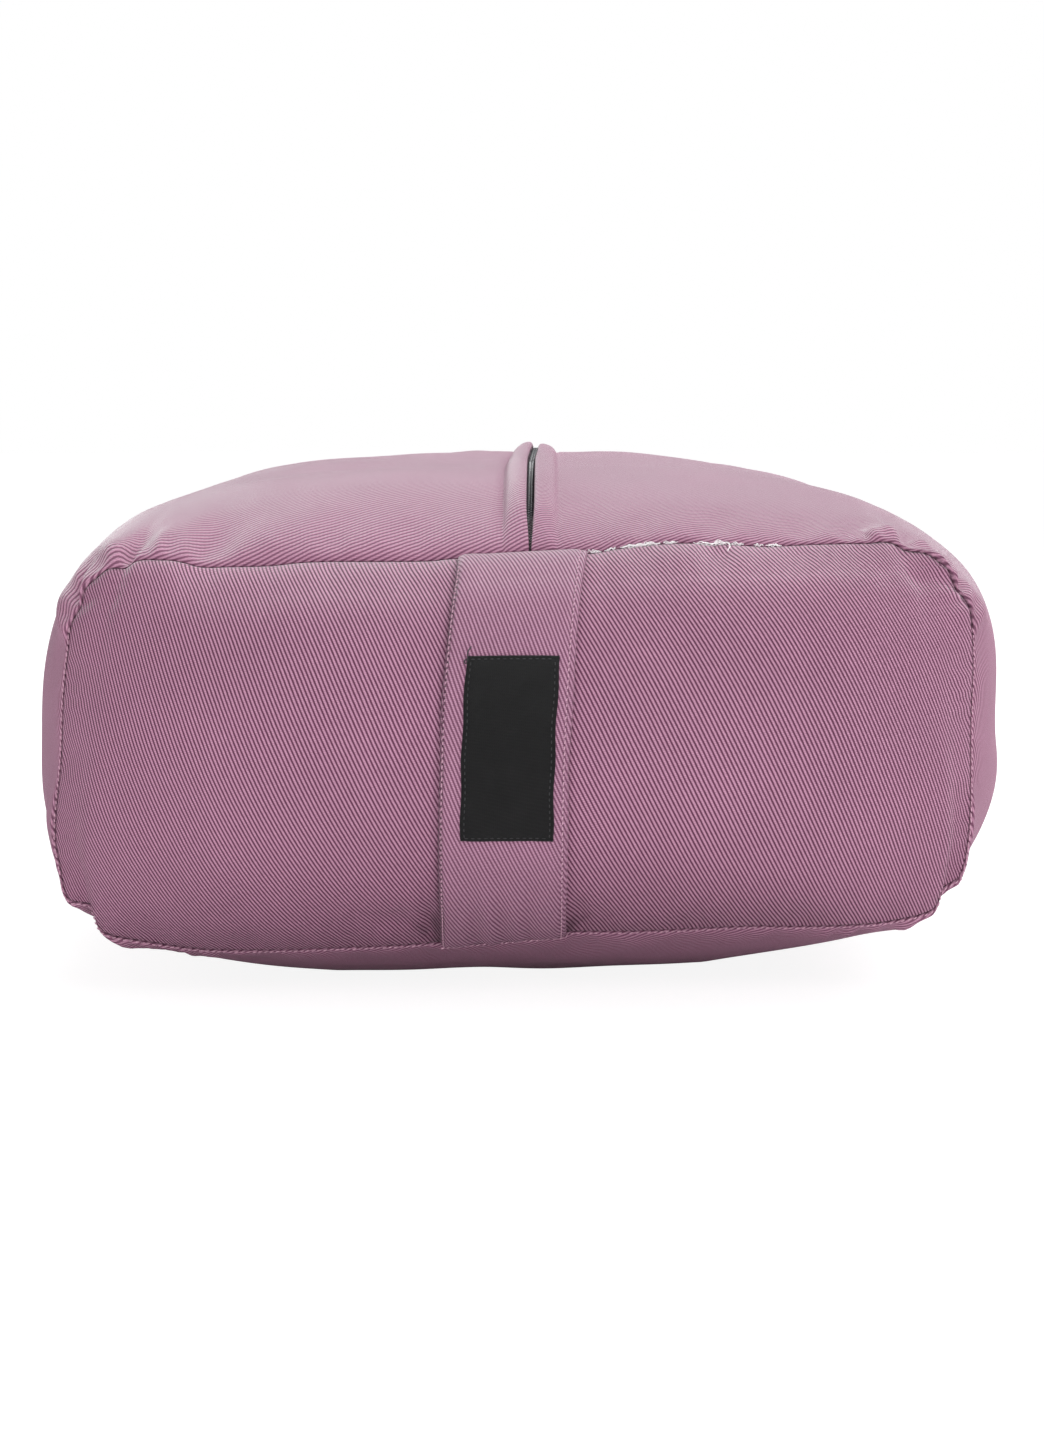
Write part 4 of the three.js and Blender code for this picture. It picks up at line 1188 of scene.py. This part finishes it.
def coil():
    """Arches across the slot in two staggered rows; near the seams they sink and close up with the slot."""
    back = np.arange(COIL_FROM, 2 * SEAM_Y - COIL_FROM, COIL_PITCH)
    share = np.linspace(-1.0, 1.0, 7)[None, :]
    rows = []
    for side, stagger in ((-1.0, 0.0), (1.0, COIL_PITCH / 2)):
        at = (back + stagger)[:, None]
        near = np.minimum(at, 2 * SEAM_Y - at)
        open_by = ease(near, *SLOT_OPENS)
        x, z = zip_line(at)
        arch = np.sqrt(np.clip(1 - share ** 2, 0.0, 1.0))
        offset = side * (COIL_ROW_OUT + COIL_HALF_SPAN * share * np.ones_like(at)) * (0.35 + 0.65 * open_by)
        height = z + COIL_FOOT + COIL_ARCH * arch * open_by - 0.5 * (1 - open_by)
        rows.append(np.stack([x + offset, -SEAM_Y + at + 0.2 * side * share, height], axis=-1))
    return strands("zip_coil", np.concatenate(rows), COIL_RADIUS, sides=6, facing=(0.0, 1.0, 0.0))


zip_coil = coil()

# %% [markdown]
# ## Loose threads
# Along the right half of the top seam a white basting thread was left in and has frayed, and the
# label's thread ends in a short tail. These are thin strands on wandering paths.

# %% Frayed white thread in the top seam
FRAYS = ((20.6, 4.2), (26.0, 3.0), (30.8, 11.0), (43.6, 4.4), (52.6, 10.5), (64.0, 3.2), (71.0, 2.2),
         (74.2, 4.8))
FRAY_RADIUS = 0.12
HANGING_END_X = 62.8
TAIL_RADIUS = 0.17


def frayed_threads():
    """Each fray is a bundle of wandering strands between two places along the top seam."""
    wild = np.random.default_rng(52)
    paths = []
    for start, length in FRAYS:
        for _ in range(int(2 + length * 0.55)):
            low = start + wild.uniform(-0.6, 0.35 * length)
            high = start + length + wild.uniform(-0.35 * length, 0.6)
            share = np.linspace(0.0, 1.0, 14)
            x = low + (high - low) * share
            z = np.interp(x, FRONT["top"][:, 0], FRONT["top"][:, 1])
            wander = sum(wild.normal(0, 0.2) * np.sin(math.pi * k * share + wild.uniform(0, 6))
                         for k in (1, 2, 3, 5))
            lift = 0.6 + wild.uniform(0.0, 0.6) + 0.3 * np.sin(math.pi * share * wild.uniform(1, 3))
            paths.append(np.stack([x, -SEAM_Y + lean_at(z) - lift, z + 0.5 + wander], axis=-1))
    tail = np.linspace(0.0, 1.0, 14)
    x = HANGING_END_X + 0.4 * np.sin(5 * tail)
    z = np.interp(HANGING_END_X, FRONT["top"][:, 0], FRONT["top"][:, 1]) + 0.4 - 2.0 * tail
    paths.append(np.stack([x, -SEAM_Y + lean_at(z) - 1.3 - 7.0 * tail ** 0.6, z], axis=-1))
    return strands("frayed_threads", np.stack(paths), FRAY_RADIUS, sides=5)


frays = frayed_threads()


def label_tail():
    """The end of the label's thread, a small hook out of its upper left corner."""
    share = np.linspace(0.0, 1.0, 16)
    edge = -0.97 - 0.05 * np.sin(3.0 * share) + 0.06 * share
    along_it = 0.94 + 0.16 * share
    x, angle = label_place(edge, along_it)
    lift = strap_face(x, angle)
    lift = lift + 0.5 + 0.7 * np.sin(math.pi * share)
    hook = over_panel(x, angle, lift)
    knot_share = np.linspace(0.0, 1.0, 16)
    turn = 2 * math.pi * 1.6 * knot_share
    x, angle = label_place(-1.02 + 0.035 * np.cos(turn), 0.93 + 0.022 * np.sin(turn))
    knot = over_panel(x, angle, np.full(16, STRAP_CLEARANCE + STRAP_THICK + 0.55) + 0.3 * knot_share)
    return strands("label_thread_tail", np.stack([hook, knot]), TAIL_RADIUS, sides=6)


label_end = label_tail()

# %% [markdown]
# ## The twill
# Twill shows as fine diagonal ribs. A rib is one wave of a value that grows across the ribs, read
# from the cloth places, so the ribs bend with the cloth. Each rib is made of slanted threads, and
# no thread is quite even. The group puts out a shade and a height, so that wrap, panels and strap
# share it with their own pitch and direction.

# %% Twill node group
def link(tree, source, target):
    tree.links.new(source, target)


def math_node(tree, kind, first, second=None, third=None):
    """A Math node with values or sockets as its inputs; returns its output."""
    node = tree.nodes.new("ShaderNodeMath")
    node.operation = kind
    for slot, value in enumerate((first, second, third)):
        if value is None:
            continue
        if isinstance(value, (int, float)):
            node.inputs[slot].default_value = value
        else:
            link(tree, value, node.inputs[slot])
    return node.outputs[0]


def times(tree, first, second):
    """Product of two values or sockets."""
    return math_node(tree, "MULTIPLY", first, second)


def times_plus(tree, first, second, third):
    """Product of the first two plus the third."""
    return math_node(tree, "MULTIPLY_ADD", first, second, third)


def split_vector(tree, vector):
    """The X, Y and Z of a vector socket."""
    node = tree.nodes.new("ShaderNodeSeparateXYZ")
    link(tree, vector, node.inputs[0])
    return list(node.outputs)


def smooth_step(tree, value, start, stop, low=0.0, high=1.0):
    """Goes smoothly from low to high while the value goes from start to stop."""
    node = tree.nodes.new("ShaderNodeMapRange")
    node.interpolation_type = "SMOOTHSTEP"
    for name, number in (("From Min", start), ("From Max", stop), ("To Min", low), ("To Max", high)):
        node.inputs[name].default_value = number
    link(tree, value, node.inputs["Value"])
    return node.outputs["Result"]


def add_relief(tree, shader, height, distance):
    """Bump from a height socket, as deep as the distance in mm where the height grows by 1."""
    node = tree.nodes.new("ShaderNodeBump")
    node.inputs["Strength"].default_value = 1.0
    node.inputs["Distance"].default_value = distance * MM
    link(tree, height, node.inputs["Height"])
    link(tree, node.outputs["Normal"], shader.inputs["Normal"])


def noise_node(tree, vector, scale, detail=2.0, roughness=0.5):
    """A Noise Texture centred on zero."""
    node = tree.nodes.new("ShaderNodeTexNoise")
    node.inputs["Scale"].default_value = scale
    node.inputs["Detail"].default_value = detail
    node.inputs["Roughness"].default_value = roughness
    link(tree, vector, node.inputs["Vector"])
    return math_node(tree, "SUBTRACT", node.outputs["Fac"], 0.5)


RIB_EDGES = (-0.9, 0.75)
RIB_JITTER = 0.16
THREADS_PER_MM = 1.55
BEAD_HEIGHT = 0.26
GRAIN_HEIGHT = 0.3
FUZZ_OF_BEADS = 0.19


def twill_group():
    """Ribs and threads from cloth places in mm. Ribs per mm across U and V set pitch and direction."""
    group = bpy.data.node_groups.new("twill_ribs", "ShaderNodeTree")
    face = group.interface
    face.new_socket("Cloth", in_out="INPUT", socket_type="NodeSocketVector")
    for name, value in (("Ribs per mm of U", 0.73), ("Ribs per mm of V", 0.333), ("Unevenness", 0.2)):
        face.new_socket(name, in_out="INPUT", socket_type="NodeSocketFloat").default_value = value
    for name in ("Height", "Rib", "Patchiness", "Fuzz"):
        face.new_socket(name, in_out="OUTPUT", socket_type="NodeSocketFloat")
    start = group.nodes.new("NodeGroupInput")
    end = group.nodes.new("NodeGroupOutput")
    u, v, _ = split_vector(group, start.outputs["Cloth"])
    wander = noise_node(group, start.outputs["Cloth"], 0.06, 3.0, 0.55)
    jitter = noise_node(group, start.outputs["Cloth"], 0.9, 2.0, 0.6)
    across = times(group, u, start.outputs["Ribs per mm of U"])
    across = times_plus(group, v, start.outputs["Ribs per mm of V"], across)
    across = times_plus(group, wander, start.outputs["Unevenness"], across)
    across = times_plus(group, jitter, RIB_JITTER, across)
    turn = times(group, across, 2 * math.pi)
    wave = math_node(group, "SINE", turn)
    rib = smooth_step(group, wave, *RIB_EDGES)
    threads = times_plus(group, v, THREADS_PER_MM, times(group, across, 0.5))
    threads = math_node(group, "SINE", times(group, threads, 2 * math.pi))
    beads = times(group, threads, times_plus(group, jitter, 1.4, 1.0))
    height = times_plus(group, times(group, beads, rib), BEAD_HEIGHT, rib)
    height = times_plus(group, jitter, GRAIN_HEIGHT, height)
    patch_noise = noise_node(group, start.outputs["Cloth"], 0.025, 4.0, 0.6)
    fuzz = noise_node(group, start.outputs["Cloth"], 2.6, 2.0, 0.75)
    fuzz = times_plus(group, beads, FUZZ_OF_BEADS, fuzz)
    link(group, height, end.inputs["Height"])
    link(group, rib, end.inputs["Rib"])
    link(group, patch_noise, end.inputs["Patchiness"])
    link(group, fuzz, end.inputs["Fuzz"])
    return group


TWILL = twill_group()
print("twill group puts out", [item.name for item in TWILL.interface.items_tree if item.in_out == "OUTPUT"])


# %% Cloth materials
def new_material(name, roughness):
    """An empty Principled material and its tree."""
    material = bpy.data.materials.new(name)
    material.use_nodes = True
    tree = material.node_tree
    shader = tree.nodes["Principled BSDF"]
    shader.inputs["Roughness"].default_value = roughness
    return material, tree, shader


def colour_mix(tree, kind, amount, first, second):
    """A colour Mix node; amount and both colours may be values or sockets."""
    node = tree.nodes.new("ShaderNodeMix")
    node.data_type = "RGBA"
    node.blend_type = kind
    for socket, value in (("Factor", amount), ("A", first), ("B", second)):
        target = [item for item in node.inputs if item.name == socket and item.enabled][0]
        if hasattr(value, "links"):
            link(tree, value, target)
        else:
            target.default_value = value
    return [item for item in node.outputs if item.enabled][0]


# width and darkness of the painted shadow in a seam's groove and at its stitch holes
SEAM_LINE_HALF = 0.38
SEAM_LINE_DARK = 0.64
SEAM_HOLES_DARKER = 0.16
TAPE_DARK = 0.93


def seam_places(tree):
    """Millimetres along the seam and away from it, how dark the zip's tape is, and painted crease shade."""
    place = tree.nodes.new("ShaderNodeAttribute")
    place.attribute_name = "seam"
    return place.outputs["Vector"]


def painted_seam_shade(tree):
    """1 over the cloth, less in the painted shadow of a seam's line and its stitch holes, and dark on the zip's
    tape.
    """
    run, off, on_tape = split_vector(tree, seam_places(tree))
    away = math_node(tree, "POWER", math_node(tree, "DIVIDE", off, SEAM_LINE_HALF), 2.0)
    line = math_node(tree, "EXPONENT", times(tree, away, -1.0))
    dots = math_node(tree, "COSINE", times(tree, run, 2 * math.pi / SEAM_PITCH))
    darker = times(tree, line, times_plus(tree, dots, SEAM_HOLES_DARKER, SEAM_LINE_DARK))
    tape = times_plus(tree, on_tape, -TAPE_DARK, 1.0)
    return times(tree, math_node(tree, "SUBTRACT", 1.0, darker), tape)


# painted shade of the strap's stitch lines, stronger on the left, and a painted shadow on its left side wall
STITCH_LINE_SHOWS = {"left": 1.0, "right": 0.35}
STITCH_LINE_HALF = 0.36
STITCH_HOLES = (0.4, 0.4)
SIDE_WALL = 0.35
SIDE_WALL_SHADOW = 0.45


def painted_topstitch_shade(tree, cloth):
    """1 over the strap: painted shade on its stitch lines and needle holes, and a painted shadow on its left
    wall.
    """
    across, along_it, _ = split_vector(tree, cloth)
    dots = math_node(tree, "COSINE", times(tree, along_it, 2 * math.pi / STRAP_PITCH))
    holes = times_plus(tree, math_node(tree, "MAXIMUM", dots, 0.0), *STITCH_HOLES)
    lines = []
    for name, line in STITCH_LINES.items():
        away = math_node(tree, "DIVIDE", math_node(tree, "SUBTRACT", across, line), STITCH_LINE_HALF)
        near = math_node(tree, "EXPONENT", times(tree, math_node(tree, "POWER", away, 2.0), -1.0))
        lines.append(times(tree, near, STITCH_LINE_SHOWS[name]))
    both = math_node(tree, "ADD", *lines)
    side = math_node(tree, "LESS_THAN", across, SIDE_WALL - STRAP_HALF_WIDTH)
    shade = math_node(tree, "SUBTRACT", 1.0, times(tree, both, holes))
    return times(tree, shade, times_plus(tree, side, -SIDE_WALL_SHADOW, 1.0))


# painted sheen: the sheen is stronger where the cloth faces up, standing in for the light from above.
# While the normal's upward part goes from the first to the second value, the sheen goes from the third to the
# fourth
SHEEN_BY_FACING_UP = (0.1, 0.9, 0.06, 0.85)
WORN_FROM_SEAM = (3.0, 40.0)
RIB_MEAN = 0.55
PATCHY_DYE = 0.22
FUZZY_DYE = 0.95


def twill_material(name, ribs_u, ribs_v, valley, crest, bump=0.18, has_seam=True, worn=0.0):
    """Mauve twill: dark valleys, light crests, patchy dye, painted seam shade, and a soft sheen of cotton fuzz
    painted stronger where the cloth faces up; worn flattens its ribs."""
    material, tree, shader = new_material(name, 0.88)
    uv = tree.nodes.new("ShaderNodeUVMap")
    uv.uv_map = "cloth"
    weave = tree.nodes.new("ShaderNodeGroup")
    weave.node_tree = TWILL
    link(tree, uv.outputs["UV"], weave.inputs["Cloth"])
    weave.inputs["Ribs per mm of U"].default_value = ribs_u
    weave.inputs["Ribs per mm of V"].default_value = ribs_v
    rib = weave.outputs["Rib"]
    if worn:
        from_seam = split_vector(tree, seam_places(tree))[1]
        fades = smooth_step(tree, from_seam, *WORN_FROM_SEAM, 1.0, 1.0 - worn)
        rib = times_plus(tree, math_node(tree, "SUBTRACT", rib, RIB_MEAN), fades, RIB_MEAN)
    colour = colour_mix(tree, "MIX", rib, (*valley, 1.0), (*crest, 1.0))
    dye_and_painted_shade = times_plus(tree, weave.outputs["Patchiness"], PATCHY_DYE, 1.0)
    dye_and_painted_shade = times_plus(tree, weave.outputs["Fuzz"], FUZZY_DYE, dye_and_painted_shade)
    # the dye's patches are darkened by the painted shade of the seams, or of the strap's stitch lines and left
    # wall
    shade = painted_seam_shade(tree) if has_seam else painted_topstitch_shade(tree, uv.outputs["UV"])
    dye_and_painted_shade = times(tree, dye_and_painted_shade, shade)
    scaled = tree.nodes.new("ShaderNodeVectorMath")
    scaled.operation = "SCALE"
    link(tree, colour, scaled.inputs[0])
    link(tree, dye_and_painted_shade, scaled.inputs["Scale"])
    link(tree, scaled.outputs["Vector"], shader.inputs["Base Color"])
    add_relief(tree, shader, weave.outputs["Height"], bump)
    shader.inputs["Specular IOR Level"].default_value = 0.25
    # painted sheen: its weight follows how much the cloth faces up
    facing_up = split_vector(tree, tree.nodes.new("ShaderNodeNewGeometry").outputs["Normal"])[2]
    link(tree, smooth_step(tree, facing_up, *SHEEN_BY_FACING_UP), shader.inputs["Sheen Weight"])
    shader.inputs["Sheen Roughness"].default_value = 0.35
    shader.inputs["Sheen Tint"].default_value = (0.93, 0.96, 0.95, 1.0)
    return material


VALLEY = (0.112, 0.033, 0.07)
CREST = (0.47, 0.236, 0.345)
panel_twill = twill_material("twill of the panels", 1 / RIB_ACROSS, 1 / RIB_UP, VALLEY, CREST)
wrap_twill = twill_material("twill of the wrap", -1 / RIB_UP, 1 / RIB_ACROSS, (0.175, 0.068, 0.118),
                            (0.455, 0.232, 0.332), bump=0.14, worn=0.5)
strap_twill = twill_material("twill of the strap", 1 / 1.17, 1 / 2.75, (0.165, 0.062, 0.112),
                             (0.45, 0.238, 0.34),
                             has_seam=False)
cushion.data.materials.append(wrap_twill)
for piece in panels.values():
    piece.data.materials.append(panel_twill)
strap.data.materials.append(strap_twill)


# %% Label, thread and zip materials
WEFT_PITCH = 0.42
WARP_PITCH = 0.55
FINE_RELIEF = 0.05


def label_material():
    """Black satin: fine cross ribs of the weft and a faint cold sheen."""
    material, tree, shader = new_material("black woven satin", 0.5)
    uv = tree.nodes.new("ShaderNodeUVMap")
    uv.uv_map = "cloth"
    u, v, _ = split_vector(tree, uv.outputs["UV"])
    weft = math_node(tree, "SINE", times(tree, v, 2 * math.pi / WEFT_PITCH))
    warp = math_node(tree, "SINE", times(tree, u, 2 * math.pi / WARP_PITCH))
    weave = times_plus(tree, warp, 0.4, weft)
    patch_noise = noise_node(tree, uv.outputs["UV"], 0.12, 3.0)
    grain = noise_node(tree, uv.outputs["UV"], 2.4, 2.0)
    shade = times_plus(tree, weave, 0.12, 0.5)
    shade = times_plus(tree, grain, 0.5, shade)
    shade = times_plus(tree, patch_noise, 0.4, shade)
    colour = colour_mix(tree, "MIX", shade, (0.003, 0.003, 0.0032, 1.0), (0.016, 0.016, 0.0165, 1.0))
    shader.inputs["Specular IOR Level"].default_value = 0.12
    link(tree, colour, shader.inputs["Base Color"])
    add_relief(tree, shader, weave, FINE_RELIEF)
    shader.inputs["Sheen Weight"].default_value = 0.05
    shader.inputs["Sheen Roughness"].default_value = 0.4
    shader.inputs["Sheen Tint"].default_value = (0.8, 0.9, 1.0, 1.0)
    return material


def plain_strand(name, dark, light, roughness, scale=900.0):
    """Thread or nylon: a colour that wanders a little from strand to strand, with fine grain in its
    relief."""
    material, tree, shader = new_material(name, roughness)
    place = tree.nodes.new("ShaderNodeTexCoord").outputs["Object"]
    wander = noise_node(tree, place, scale, 2.0)
    fac = math_node(tree, "ADD", wander, 0.5)
    link(tree, colour_mix(tree, "MIX", fac, (*dark, 1.0), (*light, 1.0)), shader.inputs["Base Color"])
    add_relief(tree, shader, noise_node(tree, place, scale * 3, 1.0), FINE_RELIEF)
    return material


mauve_thread = plain_strand("mauve sewing thread", (0.4, 0.2, 0.29), (0.74, 0.47, 0.58), 0.7)
black_thread = plain_strand("black sewing thread", (0.006, 0.006, 0.007), (0.03, 0.03, 0.033), 0.6)
white_thread = plain_strand("white cotton thread", (0.8, 0.78, 0.79), (0.95, 0.94, 0.94), 0.8)
dark_nylon = plain_strand("dark nylon coil", (0.03, 0.032, 0.036), (0.07, 0.073, 0.08), 0.22)
label.data.materials.append(label_material())
for piece in (front_stitches, back_stitches, strap_stitches):
    piece.data.materials.append(mauve_thread)
for piece in (label_thread, label_end):
    piece.data.materials.append(black_thread)
frays.data.materials.append(white_thread)
zip_coil.data.materials.append(dark_nylon)

# %% [markdown]
# ## Floor and light
# The bolster lies on a plain pale floor. A wide soft light hangs above it and slightly to the right,
# a weaker one stands in front, and a low narrow one lifts the cloth below the front seam. With weak
# even light from the room the top is bright and the end panel gets darker towards its foot. The
# floor glows a little for the camera alone, so it looks almost white and still takes a shadow.

# %% Floor
FLOOR_SHADE = 0.92
FLOOR_GLOWS = 0.7
GLOW_STRENGTH = 1.27
floor_mesh = bpy.data.meshes.new("floor")
floor_mesh.from_pydata([(-6.0, -4.0, 0.0), (6.0, -4.0, 0.0), (6.0, 12.0, 0.0), (-6.0, 12.0, 0.0)], [],
                       [(0, 1, 2, 3)])
floor = bpy.data.objects.new("floor", floor_mesh)
bpy.context.scene.collection.objects.link(floor)
floor_material, floor_tree, floor_shader = new_material("pale floor", 0.9)
floor_shader.inputs["Base Color"].default_value = (*[FLOOR_SHADE] * 3, 1.0)
floor_shader.inputs["Specular IOR Level"].default_value = 0.0
sees = floor_tree.nodes.new("ShaderNodeLightPath")
glow = floor_tree.nodes.new("ShaderNodeEmission")
glow.inputs["Color"].default_value = (1.0, 1.0, 1.0, 1.0)
glow.inputs["Strength"].default_value = GLOW_STRENGTH
blend = floor_tree.nodes.new("ShaderNodeMixShader")
link(floor_tree, times(floor_tree, sees.outputs["Is Camera Ray"], FLOOR_GLOWS), blend.inputs["Fac"])
link(floor_tree, floor_shader.outputs["BSDF"], blend.inputs[1])
link(floor_tree, glow.outputs["Emission"], blend.inputs[2])
link(floor_tree, blend.outputs["Shader"], floor_tree.nodes["Material Output"].inputs["Surface"])
floor_mesh.materials.append(floor_material)


# %% Lights
def soft_light(name, place, towards, width, depth, power):
    """A rectangular area light at a place in metres that faces a point."""
    data = bpy.data.lights.new(name, "AREA")
    data.shape = "RECTANGLE"
    data.size, data.size_y, data.energy = width, depth, power
    lamp = bpy.data.objects.new(name, data)
    lamp.location = place
    away = np.array(place) - np.array(towards)
    level = math.hypot(away[0], away[1])
    lamp.rotation_euler = (math.atan2(level, away[2]), 0.0, math.atan2(away[0], -away[1]))
    bpy.context.scene.collection.objects.link(lamp)
    return lamp


ROOM_LIGHT = 0.46
soft_light("overhead light", (0.5, 0.55, 1.55), (0.0, 0.1, 0.1), 2.0, 2.0, 54.0)
soft_light("front light", (1.1, -2.2, 1.5), (0.0, 0.0, 0.1), 1.6, 1.2, 12.5)
soft_light("low front light", (-0.2, -1.2, 0.07), (0.0, -0.3, 0.01), 1.4, 0.08, 3.9)
world = bpy.data.worlds.new("room")
world.use_nodes = True
room = world.node_tree
lit_by = room.nodes["Background"]
lit_by.inputs["Color"].default_value = (1.0, 1.0, 1.0, 1.0)
path = room.nodes.new("ShaderNodeLightPath")
strength = times_plus(room, path.outputs["Is Camera Ray"], 1.0 - ROOM_LIGHT, ROOM_LIGHT)
link(room, strength, lit_by.inputs["Strength"])
bpy.context.scene.world = world
bpy.context.scene.view_settings.view_transform = "Standard"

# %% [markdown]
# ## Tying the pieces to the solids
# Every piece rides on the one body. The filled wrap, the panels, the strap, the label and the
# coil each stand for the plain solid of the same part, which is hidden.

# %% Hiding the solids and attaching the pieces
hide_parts("cushion")
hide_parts("end_panel_front")
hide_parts("end_panel_back")
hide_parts("handle_strap")
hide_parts("label")
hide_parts("zip")
for piece in (cushion, *panels.values(), strap, label, zip_coil, front_stitches, back_stitches,
              strap_stitches, label_thread, label_end, frays):
    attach(piece, "root")
